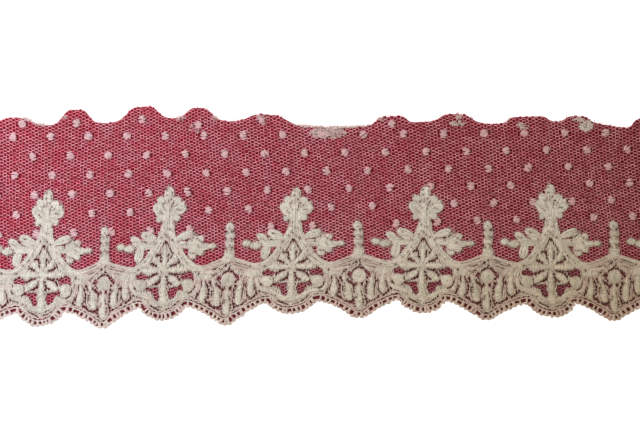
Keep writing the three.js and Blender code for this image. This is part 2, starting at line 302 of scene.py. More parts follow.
def new_material(name, sheen=CLOTH_SHEEN):
    """A matt material with one shader, whose even values are set on its own sockets."""
    material = bpy.data.materials.new(name)
    material.use_nodes = True
    shader = material.node_tree.nodes["Principled BSDF"]
    shader.inputs["Roughness"].default_value = CLOTH_ROUGHNESS
    shader.inputs["Specular IOR Level"].default_value = CLOTH_SPECULAR
    shader.inputs["Sheen Weight"].default_value = sheen
    return material, Wire(material.node_tree), shader


def share_left(along):
    """How near the left end a place is: 1 there, and 0 at the right end."""
    return 0.5 - along / (2 * HALF_LENGTH * MM)


def crimson_cloth():
    """Plain weave: where the product of two sines is positive the warp rib is on top, elsewhere the weft
    rib. Painted shade makes it darker towards the right end, where the light falls off, and dark and
    brown under close stitches."""
    material, wire, shader = new_material("crimson_cloth")
    place = wire.place()
    along, across = wire.parts(place, "X", "Y")
    warp = (along * (np.pi / (WEAVE_PITCH * MM))).sine()
    weft = (across * (np.pi / (WEAVE_PITCH * MM))).sine()
    warp_on_top = (warp * weft).above(0.0)
    rib = warp_on_top * abs(warp) + (1 - warp_on_top) * abs(weft)
    shade = rib * RIB_SHARE + wire.noise(place, DYE_SCALE, 4.0) * (1 - RIB_SHARE)
    left = share_left(along)
    # Painted shade: darker towards the right end, where the light falls off.
    bright = left.blend(shade.blend(*CRIMSON_RIGHT), shade.blend(*CRIMSON_LEFT))
    # Painted shade: the cloth turns dark and brown under close stitches.
    colour = wire.point_value("stitch_shade").blend(bright, left.blend(*CRIMSON_STITCH_SHADE))
    colour.into(shader, "Base Color")
    wire.bump(rib, WEAVE_STRENGTH, WEAVE_DEPTH).into(shader, "Normal")
    return material


def backing_mesh(columns, rows):
    """A closed slab: a grid between the two inset edges, closer towards the lower one, once at the top,
    once at the bottom, and a wall round the border."""
    end = HALF_LENGTH - BACKING_INSET
    x = np.linspace(-end, end, columns)[None, :] + np.zeros((rows, 1))
    f = np.linspace(0, 1, rows)[:, None] ** BACKING_CLOSER
    y = lower_edge(x[0], BACKING_INSET) * (1 - f) + upper_edge(x[0], BACKING_INSET) * f
    top = np.stack([x, y, np.full_like(x, BACKING_TOP)], -1).reshape(-1, 3)
    points = np.concatenate([top, top * (1, 1, 0)])
    index = np.arange(rows * columns).reshape(rows, columns)
    upper = quads(index[None]).reshape(-1, 4)
    border = np.concatenate([index[0, :-1], index[:-1, -1], index[-1, :0:-1], index[:0:-1, 0]])
    after = np.roll(border, -1)
    under = rows * columns
    wall = np.stack([border + under, after + under, after, border], -1)
    return points, np.concatenate([upper, upper[:, ::-1] + under, wall])


backing_points, backing_faces = backing_mesh(BACKING_COLUMNS, BACKING_ROWS)
backing = add_mesh("backing_cloth", backing_points, [backing_faces], crimson_cloth())
edge_x = np.linspace(-HALF_LENGTH, HALF_LENGTH, EDGE_SAMPLES)
backing_span = upper_edge(edge_x, BACKING_INSET) - lower_edge(edge_x, BACKING_INSET)
backing_area = float(backing_span.mean() * 2 * (HALF_LENGTH - BACKING_INSET)) * MM * MM
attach(backing, "root")
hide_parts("backing")


# The palmettes: lobed flowers of flat embroidery in soft twisted cotton, each on a short thick neck.
# Lengthwise threads lie side by side in every lobe, and a thin cord is sewn round its outline. All the
# embroidery is in this one cotton, and narrow gaps between its stitches let the backing show.
WHEEL_POSITIONS = np.arange(-1, 6) * REPEAT
# Windows: a line from start to end in the chart, and half the width along it where the net is left bare.
# Gaps: the same for the narrow slits between stitches, where only the backing shows.
LINE_COLUMNS = "start_s start_t end_s end_t half"
WINDOWS = table(
    LINE_COLUMNS,
    (-8.3, -1.4, -6.2, -1.6, 0.7), (-7.4, -0.6, -7.1, -1.2, 0.5), (6.4, -1.5, 8.5, -1.5, 0.9),
    (7.8, -0.6, 8.2, -0.8, 0.5), (8.8, -2.0, 9.2, -2.6, 0.35), (-3.5, -5.4, -2.0, -5.3, 0.65),
    (-2.7, -6.0, -1.9, -7.6, 0.8), (-5.1, -5.0, -3.5, -5.3, 0.35), (2.4, -5.6, 4.0, -5.5, 0.7),
    (2.3, -6.4, 3.3, -6.7, 0.8), (2.5, -7.3, 2.5, -7.6, 0.55), (4.5, -5.1, 5.8, -5.2, 0.35),
    (5.4, -4.4, 5.5, -4.6, 0.35), (22.8, -1.9, 23.4, -2.8, 0.42), (17.3, -2.2, 17.8, -2.5, 0.42),
)
GAPS = table(
    LINE_COLUMNS,
    (0.2, 8.7, 0.3, 8.2, 0.2), (0, 9, -0.6, 7.7, 0.08), (0.6, 8.9, 1.4, 7.3, 0.08),
    (2.3, 9.4, 2.6, 9.2, 0.21), (-2.6, 5.05, -1.8, 5.05, 0.21), (-1.15, 5, -1.05, 3.1, 0.15),
    (1.3, 5, 1.15, 3.3, 0.15), (2.4, 4.6, 1.9, 3.8, 0.09), (-4.3, 2.5, -2.3, 1.8, 0.21),
    (2.2, 1.8, 3.5, 1.95, 0.21), (3.8, 2.1, 4.3, 2.8, 0.15), (-8.4, 0.8, -8.2, 0.85, 0.2),
    (-4.8, -1.55, -3.7, -1.15, 0.21), (-3.3, -0.8, -2, -0.65, 0.17), (-0.8, -0.1, -0.5, -0.3, 0.1),
    (1.8, -0.75, 3.6, -1.05, 0.19), (3.8, -1, 4.3, -1.4, 0.22), (4.6, -0.9, 5.4, -0.9, 0.09),
    (4.6, -1.7, 5.3, -2.9, 0.22), (-1.2, -1.4, -1.3, -2.9, 0.15), (-1.5, -3.1, -2.3, -3.5, 0.24),
    (-2.5, -3.6, -3.3, -3.8, 0.17), (-4.2, -4.3, -3.9, -4.4, 0.09), (1.1, -1.6, 1.3, -3, 0.24),
    (1.6, -3.2, 2.5, -3.7, 0.21), (1.3, -3.8, 1.5, -4.3, 0.21), (1.2, -4.9, 1.25, -5.3, 0.12),
    (-5.5, -4.9, -4.9, -4.95, 0.15), (-6.2, -5.3, -5.9, -5.3, 0.14), (9.2, -2.7, 9.35, -3, 0.18),
    (10, -4.7, 9.6, -5.5, 0.17), (9, -6.3, 8.2, -6.7, 0.14), (-9.5, -4.8, -9.2, -5, 0.15),
    (-5.6, -3.4, -5.5, -4, 0.09), (-9.9, -6.8, -9.4, -7, 0.17), (-10.8, -7.3, -10.4, -7.6, 0.2),
    (-8.7, -7.2, -7.2, -7.6, 0.1), (-4.8, -8.4, -4.5, -8.7, 0.15), (8.6, -7.5, 9.3, -7.6, 0.11),
    (-3.7, -10.2, -2.1, -10.9, 0.15), (-1.5, -10.4, 0, -10.55, 0.1), (-1.4, -11.3, -0.5, -11.9, 0.15),
    (1.2, -11.3, 3, -10.9, 0.09), (3.4, -10.5, 4.8, -9.7, 0.11), (5, -9.1, 5.4, -9.3, 0.17),
    (1.2, -10.4, 2.9, -9.7, 0.07), (-6, -8, -5.4, -8.2, 0.09), (11, -0.9, 11.35, -0.9, 0.18),
    (15.1, 0.3, 15.9, 0.3, 0.12), (16.2, 0.6, 16.9, 0.75, 0.11), (17.3, 0.1, 18.1, 0.2, 0.14),
    (18.4, 0.6, 18.8, 0.9, 0.14), (19.3, 1.2, 19.6, 1.5, 0.16), (15, 1.5, 15.6, 1.6, 0.08),
    (16.2, -1, 16.7, -1, 0.11), (15.4, -1.6, 16, -1.6, 0.08), (20.6, 0.4, 20.65, 0.9, 0.15),
    (20.7, 1.3, 20.5, 2, 0.14), (20.9, 2.3, 21.1, 2.6, 0.11), (22.2, 2.3, 24.2, 1.3, 0.06),
    (26.8, 0.8, 27.1, 0.8, 0.17), (25, -0.3, 25.5, -0.4, 0.08), (17, -2.7, 18, -4.1, 0.18),
    (18.4, -1.3, 19.4, -0.6, 0.14), (19.4, -0.6, 20.3, -0.2, 0.13), (20.3, -0.2, 21.6, -0.6, 0.15),
    (21.6, -0.6, 22.3, -1.5, 0.15), (22.6, -3.6, 22.9, -3.9, 0.14), (12.1, -3.4, 12, -4.9, 0.13),
    (11.5, -6.1, 10.95, -7.2, 0.16), (10.95, -7.2, 10.4, -8.3, 0.2), (10.4, -8.3, 11.5, -9.7, 0.2),
    (11.5, -9.7, 12.7, -10.1, 0.11), (13.3, -3.5, 13.8, -4.6, 0.14), (13.95, -4.9, 14.4, -6.1, 0.25),
    (14.4, -6.1, 14.15, -8.1, 0.24), (14.15, -8.1, 13.4, -8.7, 0.18), (14.6, -3.6, 15.3, -4.9, 0.18),
    (15.25, -6.5, 15.2, -7.9, 0.22), (15.7, -5.3, 15.9, -7.8, 0.12), (13.8, -9.5, 14.6, -9.8, 0.25),
    (14.6, -9.8, 15.1, -10.8, 0.23), (15.1, -10.8, 16.3, -11.3, 0.2), (16.3, -11.3, 17.7, -11.3, 0.24),
    (17.7, -11.3, 18.4, -10.6, 0.22), (18.4, -10, 18.4, -11.9, 0.22), (18.4, -11.9, 18.9, -13.3, 0.18),
    (18.9, -13.3, 20, -14, 0.11), (16.8, -4.3, 17.8, -5.3, 0.22), (17.8, -5.3, 18.5, -6, 0.24),
    (18.5, -6, 18.45, -8.4, 0.14), (19.2, -5.5, 19.5, -5.8, 0.2), (21, -5.6, 21.1, -6, 0.24),
    (20.9, -8, 21.1, -9, 0.17), (19.5, -9, 19.4, -10.3, 0.12), (21.4, -10.6, 21.4, -12.2, 0.14),
    (22.5, -5, 23.2, -5, 0.25), (22.8, -5.3, 22.1, -6.6, 0.18), (22.1, -6.6, 22.2, -8.7, 0.22),
    (21.9, -9.4, 22.4, -10.4, 0.18), (22.4, -10.4, 22.6, -11.9, 0.25), (22.3, -12.7, 22.8, -12.7, 0.24),
    (23.2, -11, 24.6, -11.1, 0.13), (25.2, -10.7, 25.5, -10.4, 0.24), (25.5, -10.4, 26.4, -9.3, 0.2),
    (25.3, -4.6, 24.9, -7, 0.16), (24.8, -7, 24.9, -8.6, 0.11), (25.2, -3.7, 25.4, -3.3, 0.17),
    (26.1, -4.4, 26, -6.5, 0.14), (26.1, -7.1, 26.4, -7.8, 0.24), (26.4, -7.8, 27, -8.4, 0.17),
    (27.6, -9, 28, -9, 0.18), (28, -9, 29.4, -7.6, 0.18), (29.2, -7, 28.5, -4.6, 0.13),
    (1.6, 19.6, 2.3, 20.7, 0.18), (-0.7, 20.4, -0.4, 21.1, 0.15), (-2, 18, -1.2, 17.3, 0.14),
    (1.4, 21.4, 1.5, 21.8, 0.14), (2.3, 19.2, 3.4, 19.8, 0.11), (0, 24.3, 0.4, 24.4, 0.12),
    (0, 22.7, 0.3, 22.8, 0.12), (-1.5, 15.1, -0.9, 14.5, 0.14), (2.3, 14.5, 2.7, 15, 0.13),
    (1.4, 18.2, 1.6, 19.2, 0.11), (1.8, 23.6, 1.9, 22.6, 0.12), (-1.2, 20.4, -1, 19.6, 0.1),
    (3.4, 18.4, 4.6, 18.2, 0.1), (-0.9, 19.2, -0.2, 18.2, 0.09), (0.6, 21.4, 0.3, 20.2, 0.09),
    (-0.5, 13.3, -0.2, 13.3, 0.14), (1.5, 12.6, 1.9, 12.2, 0.15), (-0.4, 11.3, 0.5, 10.8, 0.1),
    (0.6, 12.7, 0.8, 12.7, 0.08), (-7.7, 9.5, -6.2, 8.9, 0.19), (-6.2, 10.9, -5.9, 10.8, 0.13),
    (-10.5, 8, -9.7, 7.6, 0.14), (-10, 9.4, -8.6, 8.8, 0.09), (9.3, 10.7, 8.7, 9.9, 0.13),
    (8.7, 9.9, 7.1, 9.1, 0.15), (7.1, 9.1, 6.8, 8.3, 0.17), (8.3, 10.7, 8.6, 10.6, 0.11),
    (10.4, 7.6, 10.8, 7.1, 0.14), (11.4, 8.6, 12.2, 8, 0.09), (8, 5.4, 9.8, 5.2, 0.09),
    (19.3, 6.1, 19.5, 6, 0.12), (20.9, 6, 21.1, 6.1, 0.12), (19.5, 8.7, 19.7, 8.6, 0.11),
    (20.7, 8.7, 20.9, 8.7, 0.11), (20.4, 9.6, 20.6, 9.9, 0.1), (19.6, 11.3, 19.8, 11.2, 0.11),
    (20.9, 11.1, 21.1, 11.2, 0.11), (20.1, 12.4, 20.3, 12.3, 0.1), (20.2, 7.2, 20.4, 7.4, 0.1),
    (-3, 8.4, -3.1, 8, 0.1), (-3.5, 6.5, -3.4, 6.2, 0.09), (-4.4, 4.9, -4.8, 4.5, 0.09),
    (-6, 3.3, -6.5, 3, 0.09), (4, 8.7, 4.1, 8.3, 0.1), (4.3, 6.9, 4.4, 6.5, 0.09),
    (4.6, 5.5, 4.6, 5.1, 0.09), (5.4, 3.9, 5.8, 3.5, 0.09), (6.8, 2.7, 7.3, 2.3, 0.09),
    (-1.3, 10.4, -0.9, 9.9, 0.11), (1.2, 10.2, 1.6, 9.6, 0.1), (10, 9.6, 11, 8.8, 0.12),
    (-0.7, 7.5, -1.8, 5.3, 0.06), (1.6, 7, 2.8, 5.1, 0.06), (-4, 4.1, -4.5, 3, 0.11),
    (4.4, 3.6, 5, 2.3, 0.1), (19, 6.7, 19.5, 6.7, 0.2), (20.9, 6.7, 21.4, 6.7, 0.2),
    (19, 9.35, 19.5, 9.35, 0.2), (20.9, 9.3, 21.5, 9.3, 0.2), (18.9, 11.6, 19.4, 11.6, 0.24),
    (20.8, 11.6, 21.4, 11.6, 0.24), (12.5, 1, 18, 2.8, 0.06), (13.5, 0.3, 18.6, 1.9, 0.06),
    (21.8, 2.6, 26, 1.1, 0.07), (21.6, 1.6, 26, 0.4, 0.07), (22.2, 0.6, 25, -0.3, 0.06),
)
GAP_DOTS = 0.9
GAP_SWELL = 0.7
# Near a gap a thread is drawn thin: its share of width at the gap's border, the way over which that
# share grows by one, and the least share.
THIN_IN_GAP = 0.35
THIN_REACH = 0.12
THINNEST = 0.1
# Painted shade beside the gaps: how far it reaches, and how strong it is.
GAP_SHADE_REACH = 0.5
GAP_SHADE_STRENGTH = 0.45
END_MARGIN = 0.3

# Colours of the cotton, with right and left ends where two are given, and ramps: from, to, low and high.
COTTON_SHADE = (0.53, 0.51, 0.45, 1)
COTTON_LIGHT = (0.80, 0.785, 0.72, 1)
# The right ends are darker and browner: painted shade of the light falling off.
COTTON_ROSY = ((0.54, 0.37, 0.35, 1), (0.70, 0.50, 0.53, 1))
# Painted shade beside the gaps, at the right end and the left.
COTTON_GAP_SHADE = ((0.37, 0.23, 0.20, 1), (0.42, 0.25, 0.27, 1))
# Dark spots of painted shade, where threads cross.
COTTON_PIT_SHADE = (0.25, 0.22, 0.18, 1)
# Painted shade of the light falling off: browner towards the right end and the scallops, and at the lower
# right.
COTTON_FAR_SHADE = (0.84, 0.77, 0.66, 1)
SHADE_RAMP = (0.3, 0.7, 0.0, 1.0)
PIT_SHADE_RAMP = (0.56, 0.72, 0.0, 0.7)
# Ramps of that painted shade: along and across the trim, and at the lower right.
FAR_SHADE_ALONG = (-0.09, 0.09, 0.0, 1.0)
FAR_SHADE_ACROSS = (-0.026, 0.004, 1.5, 0.7)
CORNER_SHADE_ALONG = (0.03, 0.085, 0.0, 0.6)
CORNER_SHADE_ACROSS = (-0.022, -0.009, 1.0, 0.0)
TWIST_LENGTH = 0.5
TWIST_DEPTH = 0.00006
TWIST_STRENGTH = 0.5
TWIST_RELIEF = 0.6
MOTTLE_SHARE = 0.65
TONE_SHARE = 0.2
TWIST_SHARE = 0.05
FIBRE_SHARE = 0.1
FIBRE_SCALE = 9000.0
MOTTLE_SCALE = 420.0
PIT_SHADE_SCALE = 1500.0
EMBROIDERY_SEED = 3
chance = np.random.default_rng(EMBROIDERY_SEED)


def laid(s, t, z):
    """Chart lines laid on the trim at height z."""
    x, y = lay(s, t)
    return np.stack([x, y, z + np.zeros_like(x)], -1)


def unlaid(x, y):
    """The chart point that lies at x, y: a first guess, then four rounds of moving it by what it
    misses."""
    half_repeats = np.arange(len(LAY)) - LAY_ROWS_BEFORE_FIRST_WHEEL
    s = np.interp(x, LAY["x"], half_repeats * REPEAT / 2)
    t = y - lay_column(s, "y")
    for _ in range(4):
        there_x, there_y = lay(s, t)
        s = s + x - there_x
        t = t + y - there_y
    return s, t


def line_margin(lines, s, t, swell):
    """How far chart points are from the nearest of those lines in the repeat: the distance to it, less
    its half width, which swells and shrinks along the line like a row of dots."""
    margin = np.full(np.shape(s), REPEAT)
    for line in lines:
        run_s, run_t = line["end_s"] - line["start_s"], line["end_t"] - line["start_t"]
        from_s, from_t = in_repeat(s - line["start_s"] - run_s / 2) + run_s / 2, t - line["start_t"]
        length = np.hypot(run_s, run_t)
        f = np.clip((from_s * run_s + from_t * run_t) / length**2, 0, 1)
        half = line["half"] * (1 + swell * np.cos(2 * np.pi * f * length / GAP_DOTS))
        margin = np.minimum(margin, np.hypot(from_s - f * run_s, from_t - f * run_t) - half)
    return margin


def bare_margin(s, t):
    """How far chart points are from the nearest window or gap."""
    return np.minimum(line_margin(WINDOWS, s, t, 0), line_margin(GAPS, s, t, GAP_SWELL))


def thread_points(path, wide, high, sides):
    """An oval carried along each path: wide is its half width in the plane, and high its half height."""
    ahead = np.gradient(path[..., :2], axis=-2)
    side = np.stack([-ahead[..., 1], ahead[..., 0]], -1)
    side = side / np.maximum(np.linalg.norm(side, axis=-1, keepdims=True), 1e-9)
    turn = np.pi / 2 + 2 * np.pi * np.arange(sides) / sides
    points = np.repeat(path[..., None, :], sides, axis=-2)
    points[..., :2] += side[..., None, :] * (wide[..., None] * np.cos(turn))[..., None]
    points[..., 2] += high[..., None] * np.sin(turn)
    return points


def thread_faces(count, steps, sides):
    """Faces of threads with steps ovals each: oval i to oval i + 1, and corner j to corner j + 1."""
    index = np.arange(count * steps * sides).reshape(count, steps, sides)
    return quads(np.concatenate([index, index[..., :1]], -1))


def closed_threads(path, wide, high, sides, blush=0.0, gapped=False):
    """Threads with shut ends, without those that cross the cut ends of the trim, and drawn thin where
    they cross a gap. Their coordinates are the length along the thread and the turn around it. Each has
    its own tone, blush is how far red shows, and a third value is how near a gap is, for painted shade."""
    path = np.asarray(path, float)
    wide, high, blush = (np.broadcast_to(value, path.shape[:2]) for value in (wide, high, blush))
    whole = (np.abs(path[..., 0]) < HALF_LENGTH - END_MARGIN).all(1)
    path, wide, high, blush = path[whole], wide[whole], high[whole], blush[whole]
    gap_shade = np.zeros(path.shape[:2])
    if gapped:
        clear = bare_margin(*unlaid(path[..., 0], path[..., 1]))
        wide = wide * np.clip(THIN_IN_GAP + clear / THIN_REACH, THINNEST, 1)
        # Painted shade beside a gap: the nearer it is, the more.
        gap_shade = np.clip(1 - clear / GAP_SHADE_REACH, 0, 1)
    count, steps = path.shape[:2]
    index = np.arange(count * steps * sides).reshape(count, steps, sides)
    length = np.linalg.norm(np.diff(path, axis=1), axis=-1).cumsum(1)
    u = np.concatenate([np.zeros((count, 1)), length], 1)[:, :, None] + np.zeros(sides + 1)
    v = np.arange(sides + 1) / sides + np.zeros((count, steps, 1))
    uv = np.stack([u, v], -1)
    return {
        "points": thread_points(path, wide, high, sides).reshape(-1, 3),
        "faces": thread_faces(count, steps, sides).reshape(-1, 4),
        "face_uv": quads(uv).reshape(-1, 2),
        "ends": np.concatenate([index[:, 0, ::-1], index[:, -1]]),
        "end_uv": np.concatenate([uv[:, 0, :-1][:, ::-1], uv[:, -1, :-1]]).reshape(-1, 2),
        "tone": np.repeat(chance.random(count), steps * sides),
        "blush": np.repeat(blush.ravel(), sides),
        "gap_shade": np.repeat(gap_shade.ravel(), sides),
    }


def add_threads(name, bundles, material):
    """Joins bundles of closed threads into one piece of the lace."""
    first = np.cumsum([0] + [len(bundle["points"]) for bundle in bundles])
    sides = sorted({bundle["ends"].shape[1] for bundle in bundles})
    groups = [np.concatenate([bundle["faces"] + start for bundle, start in zip(bundles, first)])]
    uv = [bundle["face_uv"] for bundle in bundles]
    for corners in sides:
        alike = [(b, start) for b, start in zip(bundles, first) if b["ends"].shape[1] == corners]
        groups.append(np.concatenate([b["ends"] + start for b, start in alike]))
        uv.extend(b["end_uv"] for b, _ in alike)
    joined = {
        key: np.concatenate([bundle[key] for bundle in bundles])
        for key in ("points", "tone", "blush", "gap_shade")
    }
    points = joined.pop("points")
    piece = add_mesh(name, points, groups, material, np.concatenate(uv), joined)
    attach(piece, "root")
    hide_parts("lace")
    return piece


def sewing_cotton(name, rosy):
    """Twisted cotton: bump stripes that wind round the thread, fine fibres, a tone for each thread, slow
    mottling, dark spots of painted shade where threads cross, and a rosy tint where the thread is thin
    over the crimson. Painted shade darkens it beside the gaps, and darkens and browns it towards the
    right end and the scallops and again at the lower right, where the light falls off."""
    material, wire, shader = new_material(name)
    place = wire.place()
    along, around = wire.parts(wire.add("ShaderNodeUVMap", {"uv_map": "thread"}, {}), "X", "Y")
    twist = ((along / TWIST_LENGTH + around) * (2 * np.pi)).sine() * 0.5 + 0.5
    fibre = wire.noise(place, FIBRE_SCALE, 2.0)
    mottle = wire.noise(place, MOTTLE_SCALE, 5.0)
    pit_shade = wire.noise(place, PIT_SHADE_SCALE, 2.0)
    mixed = mottle * MOTTLE_SHARE + wire.point_value("tone") * TONE_SHARE
    mixed = mixed + twist * TWIST_SHARE + fibre * FIBRE_SHARE
    x, y = wire.parts(place, "X", "Y")
    left = share_left(x)
    cream = wire.ramp(mixed, *SHADE_RAMP).blend(COTTON_SHADE, COTTON_LIGHT)
    tinted = wire.point_value("blush").blend(cream, left.blend(*rosy))
    # Painted shade beside the gaps.
    gap_shaded = (wire.point_value("gap_shade") * GAP_SHADE_STRENGTH).blend(tinted, left.blend(*COTTON_GAP_SHADE))
    # Dark spots of painted shade, where threads cross.
    colour = wire.ramp(pit_shade, *PIT_SHADE_RAMP).blend(gap_shaded, COTTON_PIT_SHADE)
    # Painted shade of the light falling off, towards the right end and the scallops, and again at the
    # lower right.
    far_shade = wire.ramp(x, *FAR_SHADE_ALONG) * wire.ramp(y, *FAR_SHADE_ACROSS)
    corner_shade = wire.ramp(x, *CORNER_SHADE_ALONG) * wire.ramp(y, *CORNER_SHADE_ACROSS)
    corner_shade.tint(far_shade.tint(colour, COTTON_FAR_SHADE), COTTON_FAR_SHADE).into(shader, "Base Color")
    relief = twist * TWIST_RELIEF + fibre * (1 - TWIST_RELIEF)
    wire.bump(relief, TWIST_STRENGTH, TWIST_DEPTH).into(shader, "Normal")
    return material


# A form: its root and tip in the chart, half its greatest width, how pointed it is at both ends, and
# its rise.
FORM_COLUMNS = "root_s root_t tip_s tip_t half root_ease tip_ease rise"
PALMETTE_LOBES = table(
    FORM_COLUMNS,
    (0.75, 10.0, 0.7, 16.0, 2.2, 0.32, 0.3, 0.2),
    (0.7, 14.5, 0.7, 20.8, 1.9, 0.45, 0.8, 0.13),
    (0.3, 16.6, -3.4, 17.9, 1.15, 0.6, 0.45, 0.13),
    (0.2, 17.4, -4.15, 19.8, 1.7, 0.6, 0.42, 0.13),
    (1.3, 17.4, 6.1, 19.3, 1.7, 0.6, 0.42, 0.13),
    (0.2, 18.2, -2.5, 22.4, 1.45, 0.6, 0.42, 0.13),
    (1.2, 18.4, 4.0, 22.1, 1.4, 0.6, 0.42, 0.13),
    (4.4, 19.7, 5.5, 20.7, 0.5, 0.4, 0.6, 0.12),
    (0.7, 20.4, 0.75, 25.25, 1.65, 0.5, 0.5, 0.18),
    (-0.2, 16.4, -3.0, 15.4, 0.95, 0.6, 0.42, 0.16),
    (1.8, 16.4, 4.35, 15.7, 0.95, 0.6, 0.42, 0.16),
)
FORM_LEVEL = 1.66
FORM_STEPS = 15
FORM_START = 0.03
FORM_STOP = 0.97
THREAD_SPACING = 0.38
THREAD_HIGH = 0.14
THREAD_SIDES = 5
THREAD_FILL = 0.7
THREAD_LEAST = 0.1
CROWN_ROUND = 0.9
OUTER_THREAD = 0.76
END_BLUSH = 0.3
RIM_HALF = 0.2
RIM_STEPS = 25
RIM_LIFT = 0.08
RIM_SINK = -0.25
RIM_COVERED = 0.3
RIM_FLAT = 0.75
FRINGE_ENDS = 22
FRINGE_INSET = 0.25
FRINGE_WIDE = (0.16, 0.12, 0.07)
FRINGE_HIGH = 0.08
FRINGE_REACH = (0.3, 0.75)
FRINGE_SWAY = 0.8
FRINGE_BLUSH = 0.8


def repeated(forms):
    """The forms of the chart once for every wheel."""
    every = np.tile(forms, len(WHEEL_POSITIONS))
    shift = np.repeat(WHEEL_POSITIONS, len(forms))
    every["root_s"] += shift
    every["tip_s"] += shift
    return every


def form_width(form, f):
    """Half width of a form at share f of its length: a product of two powers, scaled to its greatest."""
    a, b = form["root_ease"], form["tip_ease"]
    widest = a / (a + b)
    return form["half"] * f**a * (1 - f) ** b / (widest**a * (1 - widest) ** b)


def form_frame(form):
    """A form's root, its axis to the tip, and the unit vector to its left, in the chart."""
    root = np.array([form["root_s"], form["root_t"]])
    axis = np.array([form["tip_s"], form["tip_t"]]) - root
    return root, axis, np.array([-axis[1], axis[0]]) / np.hypot(*axis)


def on_form(form, along, out):
    """Chart places at a share along a form's axis, and a distance out to its left."""
    root, axis, side = form_frame(form)
    return root[0] + axis[0] * along + side[0] * out, root[1] + axis[1] * along + side[1] * out


def crown(form, half, share, roundness):
    """Height of a form where its half width is half: part of a circle over the share of the way
    across."""
    return form["rise"] * np.sqrt(half / form["half"]) * np.sqrt(1 - roundness * share**2)


def form_depth(forms, s, t):
    """How far chart points are inside the form of the repeat that holds them best: its half width there,
    less the distance from its axis."""
    depth = np.full(np.shape(s), -REPEAT)
    for form in forms:
        _, axis, side = form_frame(form)
        from_s, from_t = in_repeat(s - form["root_s"]), t - form["root_t"]
        f = np.clip((from_s * axis[0] + from_t * axis[1]) / (axis @ axis), 0, 1)
        depth = np.maximum(depth, form_width(form, f) - np.abs(from_s * side[0] + from_t * side[1]))
    return depth


def lengthwise(forms):
    """Threads from root to tip: the axis moved sideways by even shares of the width, over a round
    crown."""
    f = np.linspace(FORM_START, FORM_STOP, FORM_STEPS)
    paths, wide = [], []
    for form in forms:
        count = max(int(np.round(2 * form["half"] / THREAD_SPACING)), 3)
        share = np.linspace(-OUTER_THREAD, OUTER_THREAD, count)[:, None]
        half = form_width(form, f)
        out = half * (share + chance.normal(0, 0.05, (count, 1)))
        out = out + chance.normal(0, 0.03, (count, FORM_STEPS))
        z = FORM_LEVEL + crown(form, half, share, CROWN_ROUND) + chance.normal(0, 0.02, (count, 1))
        paths.append(laid(*on_form(form, f, out), z))
        apart = 2 * OUTER_THREAD * half / (count - 1)
        wide.append(np.maximum(THREAD_FILL * apart, THREAD_LEAST) + np.zeros((count, 1)))
    path, wide = np.concatenate(paths), np.concatenate(wide)
    blush = END_BLUSH * np.abs(2 * f - 1) ** 4
    return closed_threads(path, wide, THREAD_HIGH, THREAD_SIDES, blush, True)


def rim(forms, half, blush):
    """A cord round each form: up one side and down the other, just inside its outline, its ends
    overlapping. It dips under other forms that cover it."""
    turn = np.linspace(0, 2 * np.pi, RIM_STEPS)
    f = 0.5 - 0.5 * np.cos(turn)
    paths = []
    for form in forms:
        _, axis, _ = form_frame(form)
        reach = f + (0.5 - f) * 2 * half / np.hypot(*axis)
        out = np.maximum(form_width(form, f) - half, 0) * np.sign(np.sin(turn))
        s, t = np.array(on_form(form, reach, out)) + chance.normal(0, 0.06, (2, RIM_STEPS))
        near = forms[np.abs(forms["root_s"] - form["root_s"]) < REPEAT / 2]
        covered = form_depth(near, s, t) > half + RIM_COVERED
        paths.append(laid(s, t, FORM_LEVEL + np.where(covered, RIM_SINK, RIM_LIFT)))
    return closed_threads(np.array(paths), half, half * RIM_FLAT, THREAD_SIDES, blush, True)


def fringe(forms):
    """Fuzz round each form: short loose ends that start at its outline and point outwards or along it."""
    turn = np.linspace(0, 2 * np.pi, FRINGE_ENDS, endpoint=False)
    paths = []
    for form in forms:
        _, axis, side = form_frame(form)
        ahead = axis / np.hypot(*axis)
        angle = turn + chance.normal(0, 0.2, FRINGE_ENDS)
        f = 0.5 - 0.5 * np.cos(angle)
        out = (-np.cos(angle) * ahead[:, None] + np.sin(angle) * side[:, None])[..., None]
        width = (form_width(form, np.clip(f, 0.02, 0.98)) - FRINGE_INSET) * np.sign(np.sin(angle))
        sway = chance.normal(0, FRINGE_SWAY, FRINGE_ENDS)[:, None]
        reach = chance.uniform(*FRINGE_REACH, FRINGE_ENDS)[:, None] * np.linspace(0, 1, len(FRINGE_WIDE))
        s, t = on_form(form, f, width)
        s = s[:, None] + reach * (out[0] - sway * out[1])
        t = t[:, None] + reach * (out[1] + sway * out[0])
        paths.append(laid(s, t, FORM_LEVEL + chance.normal(0.0, 0.06, (FRINGE_ENDS, 1))))
    return closed_threads(np.concatenate(paths), FRINGE_WIDE, FRINGE_HIGH, 3, FRINGE_BLUSH)


embroidery_cotton = sewing_cotton("embroidery_cotton", COTTON_ROSY)
palmette_lobes = repeated(PALMETTE_LOBES)
palmettes = add_threads(
    "palmettes",
    [
        lengthwise(palmette_lobes),
        rim(palmette_lobes, RIM_HALF, blush=0.6),
        fringe(palmette_lobes),
    ],
    embroidery_cotton,
)


